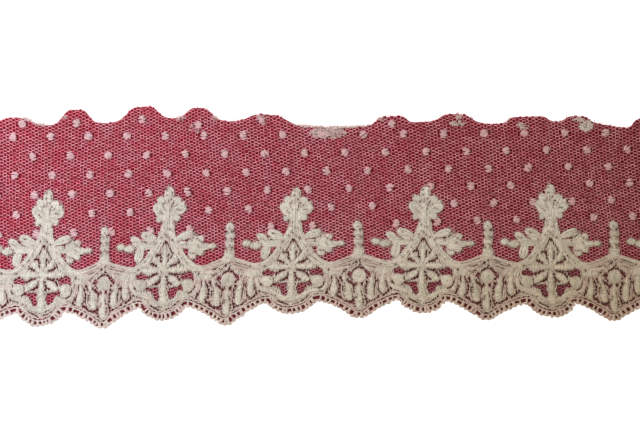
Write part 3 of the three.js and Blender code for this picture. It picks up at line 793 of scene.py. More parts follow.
# The leaf sprigs on both sides of each neck: small flat leaves and padded beads in the same cotton.
# The left sprig has four leaves and two beads. The right one has two leaves, a rosette of five lobes
# and a bead.
SPRIG_LEAVES = table(
    FORM_COLUMNS,
    (-3.4, 8.4, -10.8, 8.0, 1.6, 0.3, 0.5, 0.16),
    (-7.6, 7.8, -9.0, 2.9, 1.5, 0.6, 0.5, 0.16),
    (-7.8, 8.6, -11.2, 10.6, 1.2, 0.5, 0.5, 0.16),
    (-2.7, 9.7, -7.9, 11.5, 1.35, 0.6, 0.45, 0.18),
    (3.7, 8.3, 9.8, 7.2, 1.1, 0.4, 0.5, 0.14),
    (8.6, 7.4, 8.9, 3.6, 1.4, 0.5, 0.45, 0.16),
    (8.8, 7.2, 12.0, 5.0, 1.15, 0.5, 0.45, 0.16),
    (8.8, 7.2, 14.0, 7.2, 1.15, 0.5, 0.45, 0.18),
    (8.2, 7.5, 12.0, 10.1, 1.3, 0.5, 0.45, 0.17),
    (7.2, 8.3, 9.6, 10.7, 0.85, 0.5, 0.45, 0.14),
    (3.2, 9.5, 8.8, 11.5, 1.2, 0.6, 0.45, 0.18),
)
SPRIG_BEADS = table(
    FORM_COLUMNS,
    (-9.9, 7.4, -13.3, 7.2, 1.3, 0.35, 0.5, 0.4),
    (-13.1, 7.6, -15.7, 8.1, 1.15, 0.5, 0.5, 0.4),
    (13.6, 7.3, 15.9, 7.3, 0.95, 0.5, 0.5, 0.36),
)
STITCH_STEPS = 7
STITCH_PITCH = 0.4
STITCH_INSET = 0.1
STITCH_LEAST = 0.05
STITCH_SLANT = 0.2
STITCH_ROUND = 0.97
STITCH_END_BLUSH = 0.4
THREAD_OVERLAP = 0.58
PADDING_STEPS = 9
PADDING_WIDE = 0.86
PADDING_HIGH = 0.85


def satin(forms, whiter=0.0):
    """Satin stitches: short lines from side to side of each form, arched over it like part of a
    circle."""
    across = np.linspace(-1, 1, STITCH_STEPS)
    paths = []
    for form in forms:
        _, axis, _ = form_frame(form)
        length = np.hypot(*axis)
        count = max(int(np.ceil(length / STITCH_PITCH)), 3)
        f = ((np.arange(count) + 0.5) / count)[:, None]
        half = np.maximum(form_width(form, f) - STITCH_INSET, STITCH_LEAST)
        half = half * (1 + chance.normal(0, 0.05, (count, 1)))
        along = np.clip(f + STITCH_SLANT * across * half / length, 0.01, 0.99)
        z = FORM_LEVEL + crown(form, half, across, STITCH_ROUND) + chance.normal(0, 0.04, (count, 1))
        paths.append(laid(*on_form(form, along, half * across), z))
    wide = THREAD_OVERLAP * STITCH_PITCH * np.sqrt(1 - 0.5 * across**2)
    path = np.concatenate(paths)
    blush = STITCH_END_BLUSH * across**4
    stitches = closed_threads(path, wide, THREAD_HIGH, THREAD_SIDES, blush, True)
    stitches["tone"] += whiter
    return stitches


def padding(forms):
    """The padding under each form: one fat lengthwise bundle, a little narrower and lower than it."""
    f = np.linspace(FORM_START, FORM_STOP, PADDING_STEPS)
    paths, wide, high = [], [], []
    for form in forms:
        half = form_width(form, f)
        paths.append(laid(*on_form(form, f, 0), FORM_LEVEL))
        wide.append(half * PADDING_WIDE)
        high.append(PADDING_HIGH * crown(form, half, 0, 0))
    return closed_threads(np.array(paths), np.array(wide), np.array(high), 8)


sprig_leaves = repeated(SPRIG_LEAVES)
sprig_beads = repeated(SPRIG_BEADS)
sprigs = add_threads(
    "leaf_sprigs",
    [
        lengthwise(sprig_leaves),
        rim(sprig_leaves, RIM_HALF, blush=0.9),
        fringe(sprig_leaves),
        satin(sprig_beads),
        padding(sprig_beads),
        fringe(sprig_beads),
    ],
    embroidery_cotton,
)


# The wheels below the palmettes: satin spokes round a coiled hub, over a broad foot, with a round coiled
# blob at each side. They stand up from the worked ground, and gaps left in it draw dark lines round them.
SPOKES = table(
    FORM_COLUMNS,
    (-0.7, 0.4, -6.9, 0.5, 0.95, 0.6, 0.45, 0.24),
    (0.7, 0.4, 6.2, 0.4, 0.95, 0.6, 0.45, 0.24),
    (-0.8, -0.8, -5.3, -4.0, 1.15, 0.5, 0.45, 0.26),
    (0.8, -0.8, 5.2, -4.1, 1.25, 0.5, 0.45, 0.26),
    (-1.0, 1.4, -3.6, 4.3, 1.05, 0.5, 0.45, 0.22),
    (0.9, 1.5, 3.7, 4.5, 1.05, 0.5, 0.45, 0.22),
    (0.15, 0.8, 0.2, 7.3, 0.8, 0.5, 0.5, 0.24),
    (0, -0.2, 0, -9.4, 0.9, 0.3, 0.25, 0.24),
    (0.1, -5.9, 0.1, -10.5, 1.65, 0.8, 0.35, 0.24),
)
BLOBS = table(
    FORM_COLUMNS,
    (-5.5, -3.8, -9.3, -3.8, 1.9, 0.5, 0.5, 0.2),
    (6.0, -4.2, 9.7, -4.2, 2.1, 0.5, 0.5, 0.2),
    (0, -1.2, 0, 1.6, 1.2, 0.5, 0.5, 0.26),
)
SPOKE_WHITER = 0.4
COIL_STEPS = 64


def coil(forms):
    """A cord wound in each round form: from its middle outwards, a turn for each thread's width, over a
    dome."""
    u = np.sqrt(np.linspace(0.01, 1, COIL_STEPS))
    paths = []
    for form in forms:
        turns = form["half"] / THREAD_SPACING
        angle = 2 * np.pi * turns * u + chance.uniform(0, 6)
        reach = (1 - 0.5 / turns) * u + chance.normal(0, 0.02, COIL_STEPS)
        z = FORM_LEVEL + form["rise"] * np.sqrt(1 - CROWN_ROUND * np.clip(reach, 0, 1) ** 2)
        along = 0.5 + 0.5 * reach * np.cos(angle)
        paths.append(laid(*on_form(form, along, form["half"] * reach * np.sin(angle)), z))
    wide = THREAD_OVERLAP * THREAD_SPACING
    return closed_threads(np.array(paths), wide, THREAD_HIGH, THREAD_SIDES, END_BLUSH * u**6, True)


spokes = repeated(SPOKES)
blobs = repeated(BLOBS)
wheels = add_threads(
    "wheels",
    [
        satin(spokes, SPOKE_WHITER),
        coil(blobs),
        rim(blobs, RIM_HALF, blush=0.3),
    ],
    embroidery_cotton,
)


# The corded bands: garlands from each neck round the wheel to the bead columns, and a band round its
# foot. Each is a handful of soft cords laid side by side and sewn down, which fan apart near the columns.
BAND_COLUMNS = "s t half"
GARLAND_LEFT = table(
    BAND_COLUMNS,
    (-0.2, 13.8, 0.6), (-0.6, 11.8, 0.9), (-1.4, 9.9, 1.15), (-2.8, 7.7, 1.3), (-3.9, 5.7, 1.3),
    (-5.1, 3.9, 1.35), (-6.6, 2.3, 1.4), (-8.4, 1.2, 1.25), (-10.2, 0.7, 1.15), (-12.5, 0.8, 1.2),
    (-15.0, 1.5, 1.2), (-17.5, 2.4, 1.1), (-19.4, 3.6, 0.8),
)
GARLAND_RIGHT = table(
    BAND_COLUMNS,
    (1.5, 13.8, 0.6), (1.7, 11.8, 0.9), (2.4, 9.9, 1.1), (3.5, 7.7, 1.2), (4.5, 5.9, 1.2),
    (5.8, 4.1, 1.25), (7.4, 2.5, 1.3), (9.2, 1.15, 1.2), (10.8, 0.65, 1.1), (12.5, 0.65, 1.05),
    (15.0, 1.3, 1.15), (17.5, 2.35, 1.1), (19.4, 3.6, 0.8),
)
FAN_LEFT = table(
    BAND_COLUMNS,
    (-11.5, -0.8, 0.7), (-14.5, -0.3, 0.7), (-17.0, 0.4, 0.6), (-19.3, 1.7, 0.4),
)
FAN_RIGHT = table(
    BAND_COLUMNS,
    (11.5, -0.8, 0.7), (14.5, -0.7, 0.6), (17.2, -0.2, 0.5), (19.4, 0.9, 0.35),
)
TREFOIL = table(
    BAND_COLUMNS,
    (-10.8, -3.0, 0.5), (-10.2, -5.2, 0.6), (-8.6, -6.7, 0.7), (-6.0, -7.2, 0.75), (-4.3, -8.3, 0.85),
    (-2.6, -9.5, 0.9), (0, -10.1, 0.9), (2.6, -9.5, 0.9), (4.3, -8.3, 0.8), (6.0, -7.4, 0.65),
    (8.6, -7.3, 0.65), (10.0, -6.3, 0.6), (10.7, -4.0, 0.55),
)
KNOTS = table(
    FORM_COLUMNS,
    (-15.0, -1.2, -9.9, -1.5, 1.4, 0.6, 0.4, 0.12),
    (15.0, -1.9, 9.9, -1.4, 1.4, 0.6, 0.4, 0.12),
)
BAND_LIFT = 0.1
BAND_FLAT = 0.7
BAND_BLUSH = 0.06
BAND_SIDE_BLUSH = 0.14
FAN_BLUSH = 0.2
FAN_ASIDE = 9
FAN_REACH = 4
BAND_END_MARGIN = 0.4


def smooth_rows(rows, steps):
    """Even points on a smooth cubic through a table's rows, which goes on straight past both ends."""
    values = np.stack([rows[name] for name in rows.dtype.names], -1)
    padded = np.concatenate([2 * values[:1] - values[1:2], values, 2 * values[-1:] - values[-2:-1]])
    place = np.linspace(0, len(values) - 1 - 1e-6, steps)
    row = np.floor(place).astype(int)
    return cubic(*(padded[row + after] for after in range(4)), (place - row)[:, None])


def within_ends(path):
    """The part of a path between the cut ends of the trim, spread again over as many points."""
    kept = np.flatnonzero(np.abs(path[:, 0]) < HALF_LENGTH - BAND_END_MARGIN)
    if len(kept) < 4:
        return path
    place = np.linspace(kept[0], kept[-1], len(path))
    return np.stack([np.interp(place, np.arange(len(path)), column) for column in path.T], -1)


def band_cords(band, steps, cords, half_cord):
    """Cords along a band: its middle line moved sideways by even shares of its half width, over a low
    crown. They are thin and rosy where they fan apart."""
    share = np.linspace(-1, 1, cords)[:, None]
    s, t, half = smooth_rows(band, steps).T
    ahead = np.stack([np.gradient(s), np.gradient(t)])
    side = np.stack([-ahead[1], ahead[0]]) / np.hypot(*ahead)
    paths = []
    for wheel in WHEEL_POSITIONS:
        wander = chance.normal(0, 0.08, (cords, 1)) + chance.normal(0, 0.06, (cords, steps))
        out = share * (half - half_cord) + wander
        lift = BAND_LIFT * np.sqrt(1 - 0.8 * share**2)
        z = FORM_LEVEL + lift + chance.normal(0, 0.03, (cords, 1))
        cords_laid = laid(s + wheel + side[0] * out, t + side[1] * out, z)
        paths.extend(within_ends(path) for path in cords_laid)
    thin = FAN_BLUSH * np.clip((np.abs(s) - FAN_ASIDE) / FAN_REACH, 0, 1)
    blush = BAND_BLUSH + BAND_SIDE_BLUSH * np.abs(share) ** 3 + thin
    blush = np.tile(blush, (len(WHEEL_POSITIONS), 1))
    return closed_threads(np.array(paths), half_cord, BAND_FLAT * half_cord, THREAD_SIDES, blush, True)


knots_of_cord = repeated(KNOTS)
bands = add_threads(
    "corded_bands",
    [
        band_cords(GARLAND_LEFT, steps=40, cords=7, half_cord=0.24),
        band_cords(GARLAND_RIGHT, steps=40, cords=7, half_cord=0.24),
        band_cords(FAN_LEFT, steps=12, cords=4, half_cord=0.22),
        band_cords(FAN_RIGHT, steps=12, cords=4, half_cord=0.22),
        band_cords(TREFOIL, steps=60, cords=5, half_cord=0.23),
        satin(knots_of_cord),
    ],
    embroidery_cotton,
)


# The bead columns and roundels between the wheels: long satin beads in a stack, over one round pad.
# Each bead is sewn crosswise in the same cotton with a cord round it, and the pad is a cord coiled flat.
BEADS = table(
    FORM_COLUMNS,
    (20.2, 2.4, 20.3, 7.0, 1.7, 0.4, 0.45, 0.28),
    (20.2, 6.3, 20.2, 9.6, 1.5, 0.45, 0.45, 0.3),
    (20.3, 8.9, 20.3, 11.9, 1.5, 0.45, 0.45, 0.3),
    (20.1, 11.3, 20.0, 14.1, 1.4, 0.45, 0.45, 0.3),
)
ROUNDELS = table(
    FORM_COLUMNS,
    (20.2, -5.2, 20.2, -0.8, 2.2, 0.5, 0.5, 0.2),
)
ROUNDEL_RIM_HALF = 0.22
beads = repeated(BEADS)
roundels = repeated(ROUNDELS)
columns = add_threads(
    "bead_columns",
    [
        satin(beads),
        rim(beads, RIM_HALF, blush=0.6),
        fringe(beads),
        coil(roundels),
        rim(roundels, ROUNDEL_RIM_HALF, blush=0.4),
    ],
    embroidery_cotton,
)


# The drops over the pointed scallops: satin rolls in the same cotton, which stand up from the worked
# ground. A cord is sewn round each, and gaps left in the ground draw dotted lines beside it.
DROPS = table(
    FORM_COLUMNS,
    (20.1, -5.0, 20.05, -13.9, 1.3, 0.9, 0.35, 0.3),
    (12.9, -2.6, 12.4, -9.4, 1.25, 1.0, 0.42, 0.3),
    (15.3, -2.2, 17.3, -10.7, 1.35, 1.0, 0.4, 0.3),
    (-15.8, -2.6, -16.5, -10.6, 1.3, 0.95, 0.4, 0.3),
    (-12.4, -2.0, -12.8, -8.5, 1.2, 0.95, 0.42, 0.3),
)
DROP_WHITER = 0.5
RING_WIDER = 0.55
drops = repeated(DROPS)
rings = drops.copy()
rings["half"] += RING_WIDER
drop_threads = [satin(drops, DROP_WHITER), rim(rings, RIM_HALF, blush=0.25)]
drop_rolls = add_threads("drops", drop_threads, embroidery_cotton)


# The worked ground: close darning in the same cotton, run in and out of the net under and between all the
# forms. Its up-and-down stitches fill the net below necks and garlands, and stop at the windows and gaps.
WORKED_TOP = table(
    "s t",
    (-20, 5.2), (-19.2, 4.2), (-18, 3.5), (-15, 2.55), (-12.5, 2.05), (-10.5, 1.8), (-9.2, 2.15),
    (-8.2, 2.8), (-7.3, 3.5), (-6.3, 4.5), (-5.4, 5.8), (-4.7, 7.1), (-4.0, 8.3), (-3.2, 9.5),
    (-2.5, 10.5), (-2.2, 11.5), (-1.8, 12.6), (-1.3, 13.6), (-0.8, 14.6), (0.7, 15.2), (2.2, 14.6),
    (2.6, 13.4), (2.9, 12.2), (3.3, 11.0), (3.9, 9.8), (4.6, 8.5), (5.4, 7.1), (6.2, 5.7), (7.1, 4.5),
    (8.1, 3.25), (9.3, 2.3), (10.6, 1.75), (12, 1.6), (14, 1.95), (16, 2.6), (17.5, 3.35), (18.6, 4.2),
    (20, 5.2),
)
WORKED_ABOVE_EDGE = 2.7
WORKED_FORM_INSET = 0.25
DARN_PITCH = 0.4
DARN_LENGTH = 1.9
DARN_STEPS = 4
DARN_LEVEL = 1.62
DARN_HIGH = 0.13
DARN_OVERLAP = 0.64
DARN_OVERRUN = 0.04
DARN_ARCH = 0.1
DARN_FOOT = -15
DARN_HEAD = 26
DARN_READ = 0.1
DARN_LEAST_DEPTH = 0.05
DARN_BLUSH = 0.12
DARN_END_BLUSH = 0.4
DROPS_BLUSH = 0.45
DROPS_ASIDE = 9
DROPS_TOP = -1
DROPS_FADE = 1.5
# Painted shade on the cloth: its reach into windows, its least along the ladder edge, where it starts and
# over how much it grows.
STITCH_SHADE_INTO_WINDOW = 0.2
STITCH_SHADE_AT_EDGE = 0.4
STITCH_SHADE_START = -0.7
STITCH_SHADE_REACH = 1.2


def worked_top(s):
    """Height of the top of the worked ground, read between the rows of its table."""
    return np.interp(in_repeat(s), WORKED_TOP["s"], WORKED_TOP["t"])


def worked_depth(s, t):
    """How far chart points are inside the worked ground: under its top and above its foot, or else inside
    a form, and clear of windows and gaps."""
    depth = np.minimum(worked_top(s) - t, t - scallop(s) - WORKED_ABOVE_EDGE)
    forms = np.concatenate([PALMETTE_LOBES, SPRIG_LEAVES, BEADS])
    depth = np.maximum(depth, form_depth(forms, s, t) - WORKED_FORM_INSET)
    return np.minimum(depth, bare_margin(s, t))


def darning():
    """Stitches up and down each column of one repeat: its runs inside the worked ground, cut into short
    lengths, then carried to every wheel. They are rosy at the ends of runs and between the drops."""
    s = np.arange(-REPEAT / 2, REPEAT / 2, DARN_PITCH)
    t = np.arange(DARN_FOOT, DARN_HEAD, DARN_READ)
    shown = worked_depth(s[:, None] + 0 * t, t + 0 * s[:, None]) > DARN_LEAST_DEPTH
    step = np.diff(np.pad(shown, ((0, 0), (1, 1))).astype(int), axis=1)
    column, start = np.nonzero(step == 1)
    end = np.nonzero(step == -1)[1] - 1
    length = (end - start) * DARN_READ
    pieces = np.maximum(np.round(length / DARN_LENGTH), 1).astype(int)
    run = np.repeat(np.arange(len(pieces)), pieces)
    number = np.arange(len(run)) - np.repeat(np.cumsum(pieces) - pieces, pieces)
    low = t[start][run] + length[run] * number / pieces[run]
    high = t[start][run] + length[run] * (number + 1) / pieces[run]
    f = np.linspace(-DARN_OVERRUN, 1 + DARN_OVERRUN, DARN_STEPS)
    shape = (len(WHEEL_POSITIONS), len(run), 1)
    line_t = low[:, None] + (high - low)[:, None] * f + chance.normal(0, 0.05, shape)
    line_s = s[column][run][:, None] + WHEEL_POSITIONS[:, None, None] + chance.normal(0, 0.05, shape)
    line_s = line_s + chance.normal(0, 0.12, shape) * (2 * f - 1)
    at_foot = (number == 0)[:, None] & (f < 0.3)
    at_head = (number == pieces[run] - 1)[:, None] & (f > 0.7)
    among_drops = np.clip((np.abs(s[column][run]) - DROPS_ASIDE) / DROPS_FADE, 0, 1)
    among_drops = among_drops * np.clip((DROPS_TOP - low) / DROPS_FADE, 0, 1)
    blush = DARN_BLUSH + DROPS_BLUSH * among_drops[:, None] + DARN_END_BLUSH * (at_foot | at_head)
    arch = DARN_ARCH * np.sin(np.pi * np.clip(f, 0, 1))
    path = laid(line_s, line_t, DARN_LEVEL + arch + chance.normal(0, 0.03, shape))
    path = path.reshape(-1, DARN_STEPS, 3)
    blush = np.tile(blush, (len(WHEEL_POSITIONS), 1))
    return closed_threads(path, DARN_OVERLAP * DARN_PITCH, DARN_HIGH, 4, blush, True)


darned = add_threads("worked_ground", [darning()], embroidery_cotton)
# Painted shade on the cloth under the stitches: each of its points takes how far inside the worked ground
# it is.
chart_s, chart_t = unlaid(backing_points[:, 0], backing_points[:, 1])
all_forms = np.concatenate([PALMETTE_LOBES, SPRIG_LEAVES, SPRIG_BEADS, BEADS])
above_edge = chart_t - scallop(chart_s) - WORKED_ABOVE_EDGE
covered = np.maximum(worked_top(chart_s) - chart_t, form_depth(all_forms, chart_s, chart_t))
covered = np.minimum(covered, line_margin(WINDOWS, chart_s, chart_t, 0) + STITCH_SHADE_INTO_WINDOW)
covered = np.minimum(covered, above_edge)
least_stitch_shade = np.where(above_edge < 0, STITCH_SHADE_AT_EDGE, 0)
backing_stitch_shade = backing.data.attributes.new("stitch_shade", "FLOAT", "POINT")
backing_stitch_shade.data.foreach_set("value", np.clip((covered - STITCH_SHADE_START) / STITCH_SHADE_REACH, least_stitch_shade, 1))


# The ladder edge: cords along the scallops joined by close bars, with a small picot bump at each bar.
# It is worked beyond the net, so the backing shows through between the bars.
LADDER_PITCH = 1.62
LADDER_STEPS = 6
CORDS = table(
    "inset half swing wander",
    (0.42, 0.3, 0.16, 0.21),
    (2.0, 0.26, 0.0, 0.14),
    (2.72, 0.27, 0.15, 0.06),
)
CORD_HIGH = 0.26
CORD_BLUSH = 0.5
WANDER_STEPS = 8
LADDER_LEVEL = 1.6
LADDER_SIDES = 6
LADDER_END_MARGIN = 0.7
BAR_HALF = 0.52
BAR_HIGH = 0.24
BAR_LIFT = 0.05
BAR_PROFILE = np.array([1, 0.9, 0.85, 0.9, 1.1, 0.8])
PICOT = 0.35
EDGE_POINTS = 9000
EDGE_SMOOTHING = 81


def edge_line(inset):
    """Points at even spacing along the laid scallops, moved inwards square to the smoothed edge."""
    s = np.linspace(CHART_START, CHART_END, EDGE_POINTS)
    x, y = lay(s, scallop(s))
    window = np.ones(EDGE_SMOOTHING) / EDGE_SMOOTHING
    ahead_x = np.convolve(np.gradient(x), window, "same")
    ahead_y = np.convolve(np.gradient(y), window, "same")
    length = np.hypot(ahead_x, ahead_y)
    inset_x = x - ahead_y / length * inset
    inset_y = y + ahead_x / length * inset
    inside = np.abs(inset_x) < HALF_LENGTH - LADDER_END_MARGIN
    x, y = inset_x[inside], inset_y[inside]
    run = np.concatenate([[0], np.hypot(np.diff(x), np.diff(y)).cumsum()])
    place = np.arange(0, run[-1], LADDER_PITCH / LADDER_STEPS)
    return np.stack([np.interp(place, run, x), np.interp(place, run, y)], -1)


def edge_cord(inset, half, swing, wander):
    """One cord along the edge: it swings outwards at each bar, and wanders slowly from side to side."""
    line = edge_line(inset)
    ahead = np.gradient(line, axis=0)
    outward = np.stack([ahead[:, 1], -ahead[:, 0]], -1) / np.linalg.norm(ahead, axis=1, keepdims=True)
    step = np.arange(len(line))
    marks = np.arange(0, len(line) + 2 * WANDER_STEPS, WANDER_STEPS)
    out = swing * np.cos(2 * np.pi * step / LADDER_STEPS - np.pi)
    out = out + np.interp(step, marks, chance.normal(0, wander, len(marks)))
    line = line + outward * out[:, None] + chance.normal(0, 0.03, (len(line), 2))
    path = np.pad(line, ((0, 0), (0, 1)), constant_values=LADDER_LEVEL)
    wide = half * (1 + chance.normal(0, 0.08, len(line)))
    return closed_threads(path[None], wide, CORD_HIGH, LADDER_SIDES, CORD_BLUSH)


def edge_bars():
    """Bars square to the edge: from the nearest point of the inner cord to just beyond the outer one."""
    outer = edge_line(CORDS["inset"][0])
    inner = edge_line(CORDS["inset"][1])
    places = np.arange(LADDER_STEPS // 2, len(outer) - 1, LADDER_STEPS)
    foot = outer[places + chance.integers(-1, 2, len(places))]
    head = inner[np.argmin(((foot[:, None] - inner) ** 2).sum(-1), 1)]
    down = (foot - head) / np.linalg.norm(foot - head, axis=1, keepdims=True)
    share = np.linspace(-0.1, 1, len(BAR_PROFILE))[None, :, None]
    picot = PICOT * chance.uniform(0.2, 1.5, (len(foot), 1))
    line = head[:, None] * (1 - share) + (foot + picot * down)[:, None] * share
    path = np.pad(line, ((0, 0), (0, 0), (0, 1))) + (0, 0, LADDER_LEVEL + BAR_LIFT)
    wide = BAR_HALF * chance.uniform(0.7, 1.35, (len(foot), 1)) * BAR_PROFILE
    return closed_threads(path, wide, BAR_HIGH, LADDER_SIDES, chance.uniform(0.35, 0.8, (len(foot), 1)))


ladder_threads = [edge_cord(*cord) for cord in CORDS.tolist()] + [edge_bars()]
ladder = add_threads("ladder_edge", ladder_threads, embroidery_cotton)


# The sewn dots: each is a few fat stitches of cotton laid side by side over the net, in staggered rows.
# The rows open out a little towards the right, as the net does, and the cut has parted the topmost row.
# The stitches are palest round the middle, and rosy at the edge where the crimson shows past them.
DOT_ROWS = 6
DOTS_A_ROW = 19
DOT_FIRST_X = -96
DOT_STEP = 11.7
DOT_STEP_GROWTH = 0.042
DOT_TOP_Y = 25.8
DOT_ROW_SLOPE = 0.0075
DOT_ROW_STEP = 5.68
DOT_ROW_CLOSER = 0.0045
DOT_END_MARGIN = 1.5
DOT_LEAST_HEIGHT = 14
# How the dots are drawn to the right: the middle and reach of the stretch where they are drawn most, the
# shift of each lower row everywhere, what the stretch adds to it, and the top row's shift and its loss.
DRAWN_X = 35
DRAWN_REACH = 55
ROW_SHIFT = 0.25
ROW_DRAWN = 0.8
TOP_DRAWN = 0.95
TOP_DRAWN_LOSS = 0.32
TOP_DOTS = table(
    "x y",
    (-93.1, 29.0), (-76.2, 29.3), (-55.6, 30.5), (-38.1, 28.8), (-18.2, 30.0), (22.5, 29.1),
)
DOT_STITCHES = 6
DOT_STEPS = 6
DOT_HALF = 1.25
DOT_LEVEL = 1.56
DOT_ROUND = 0.55
DOT_SPREAD = 0.78
DOT_ARCH = 0.16
DOT_BLUSH = 0.58
DOT_MIDDLE_BLUSH = 0.5
DOT_EDGE_BLUSH = 0.35
DOT_THREAD = (0.28, 0.12)
# Right end, then left; the right is darker: painted shade of the light falling off.
DOT_ROSY = ((0.655, 0.365, 0.41, 1), (0.765, 0.47, 0.545, 1))
DOT_SEED = 5


def dot_places():
    """Centres of the dots: rows of evenly growing steps, every second row moved half a step, drawn to the
    right in the lower rows. Those that the embroidery covers are left out, and the topmost row is
    added."""
    row = np.arange(DOT_ROWS)[:, None]
    place = np.arange(DOTS_A_ROW)[None, :] + 0.5 * (row % 2) - 1
    x = DOT_FIRST_X + DOT_STEP * place + DOT_STEP_GROWTH * place**2
    drawn = np.exp(-(((x - DRAWN_X) / DRAWN_REACH) ** 2))
    top_shift = np.maximum(TOP_DRAWN - TOP_DRAWN_LOSS * row, 0) * drawn
    x = (x + row * (ROW_SHIFT + ROW_DRAWN * drawn) + top_shift).ravel()
    down = row.repeat(DOTS_A_ROW) * (DOT_ROW_STEP - DOT_ROW_CLOSER * x)
    y = DOT_TOP_Y + DOT_ROW_SLOPE * x - down + CHART_SHIFT_Y
    clear = (np.abs(x) < HALF_LENGTH - DOT_END_MARGIN) & (y > lower_edge(x, DOT_LEAST_HEIGHT))
    clear = clear & (worked_depth(*unlaid(x, y)) < 0)
    return np.concatenate([x[clear], TOP_DOTS["x"]]), np.concatenate([y[clear], TOP_DOTS["y"]])


def dot_stitches(x, y):
    """Each dot: lines side by side, longer in the middle, turned and moved a little by chance, and
    arched. They blush in the very middle, by a bell curve, and towards the edge, by the square of the
    way out."""
    draw = np.random.default_rng(DOT_SEED)
    stitch = np.linspace(-1, 1, DOT_STITCHES)
    along = np.linspace(-1, 1, DOT_STEPS)
    shape = (len(x), DOT_STITCHES)
    reach = DOT_HALF * np.sqrt(1 - DOT_ROUND * stitch**2) * draw.uniform(0.7, 1.15, shape)
    step = DOT_SPREAD * DOT_HALF * stitch + draw.normal(0, 0.09, shape)
    turn = draw.normal(0.1, 0.5, (len(x), 1)) + draw.normal(0, 0.16, shape)
    line = reach[..., None] * along
    path_x = x[:, None, None] + line * np.cos(turn)[..., None] - (step * np.sin(turn))[..., None]
    path_y = y[:, None, None] + line * np.sin(turn)[..., None] + (step * np.cos(turn))[..., None]
    arch = DOT_ARCH * np.sqrt(1 - 0.9 * along**2) * (1 - 0.4 * stitch**2)[:, None]
    path_z = DOT_LEVEL + arch + draw.normal(0, 0.04, shape)[..., None]
    path = np.stack([path_x, path_y, path_z], -1).reshape(-1, DOT_STEPS, 3)
    from_middle = along**2 + stitch[:, None] ** 2
    dip = DOT_MIDDLE_BLUSH * np.exp(-5 * from_middle)
    blush = np.clip(DOT_BLUSH + dip + DOT_EDGE_BLUSH * from_middle, 0, 1)
    wide = DOT_THREAD[0] * np.sqrt(1 - 0.6 * along**2)
    return closed_threads(path, wide, DOT_THREAD[1], THREAD_SIDES, np.tile(blush, (len(x), 1)))


dot_cotton = sewing_cotton("dot_cotton", DOT_ROSY)
dot_x, dot_y = dot_places()
dots = add_threads("sewn_dots", [dot_stitches(dot_x, dot_y)], dot_cotton)


# The net ground: machine-made bobbin net of fine cotton, with six-sided holes about a millimetre apart.
# Zigzag threads run across the trim and short rungs join them; the cut edge leaves their ends bare.
# It is made here, after the embroidery, so that strands hidden under the stitches can be left out.
NET_COLUMN = 1.04
NET_PITCH = 0.985
NET_RUNG_HALF = 0.415
NET_LEVEL = 1.42
NET_THREAD = (0.115, 0.10)
NET_RUNG = (0.19, 0.12)
NET_SIDES = 3
NET_UNEVEN = 0.2
NET_DRIFT = 0.085
NET_SEED = 11
NET_LEAN = 0.05
NET_LEAN_X = -45
NET_LEAN_REACH = 30
NET_STRETCH = 0.07
NET_STRETCH_X = -60
NET_STRETCH_REACH = 45
NET_HALF_WIDTH = 36
NET_SPARE_COLUMNS = 16
NET_SPARE_ROWS = 4
NET_COLUMNS = int(2 * HALF_LENGTH / NET_COLUMN) + NET_SPARE_COLUMNS
NET_ROWS = int(4 * NET_HALF_WIDTH / NET_PITCH) + NET_SPARE_ROWS
NET_WAVES = table(
    "size along across",
    (0.35, 9, 14),
    (0.25, -23, 6.5),
    (0.30, 12, -17),
    (0.22, 5.7, 21),
)
NET_END_MARGIN = 0.2
NET_CUT_INSET = 0.4
NET_EDGE_INSET = 2.2
NET_UNDER_DARNING = 0.5
NET_GAP_MARGIN = 0.12
# The hole drawn open at each side of a dot: where it starts and ends, and half its height.
HOLE_START = 1.05
HOLE_END = 1.75
HOLE_HALF = 0.5
# The net is paler at the left end and darker at the right: painted light and shade of the lamp at the
# left.
NET_RIGHT = ((0.50, 0.09, 0.11, 1), (0.84, 0.31, 0.34, 1))
NET_LEFT = ((1.0, 0.15, 0.25, 1), (1.0, 0.47, 0.59, 1))
NET_SHADED = (0.5, 0.46, 0.46, 1)
NET_MOTTLE_RAMP = (0.35, 0.65, 0.0, 1.0)
PATCH_SCALE = 260.0
STRAND_SCALE = 1100.0


def net_places(columns, rows):
    """Knots of the net: columns a mesh apart, points half a pitch apart, set left or right by turns, then
    drawn out of true by a slow lean to the left, long waves and a little chance."""
    i = np.arange(columns)[:, None] - columns // 2
    j = np.arange(rows)[None, :] - rows // 2
    set_off = np.where((i + j) % 2 == 0, NET_COLUMN - NET_RUNG_HALF, NET_RUNG_HALF)
    x = NET_COLUMN * i + set_off
    y = NET_PITCH / 2 * (j + np.zeros_like(i))
    drift = np.random.default_rng(NET_SEED).normal(0, NET_DRIFT, (2,) + x.shape)
    lean = -NET_LEAN - NET_LEAN * np.tanh((x - NET_LEAN_X) / NET_LEAN_REACH)
    stretch = 1 + NET_STRETCH * np.clip((NET_STRETCH_X - x) / NET_STRETCH_REACH, 0, 1)
    wave = [row["size"] * np.sin(x / row["along"] + y / row["across"]) for row in NET_WAVES]
    net_x = x + lean * y + (wave[0] + wave[1]) + drift[0]
    return net_x, y * stretch + (wave[2] + wave[3]) + drift[1]


def uneven(shape):
    """Sizes of hand-softened thread, as shares of the even one."""
    return 1 + NET_UNEVEN * np.clip(chance.normal(0, 1, shape), -1.5, 2)


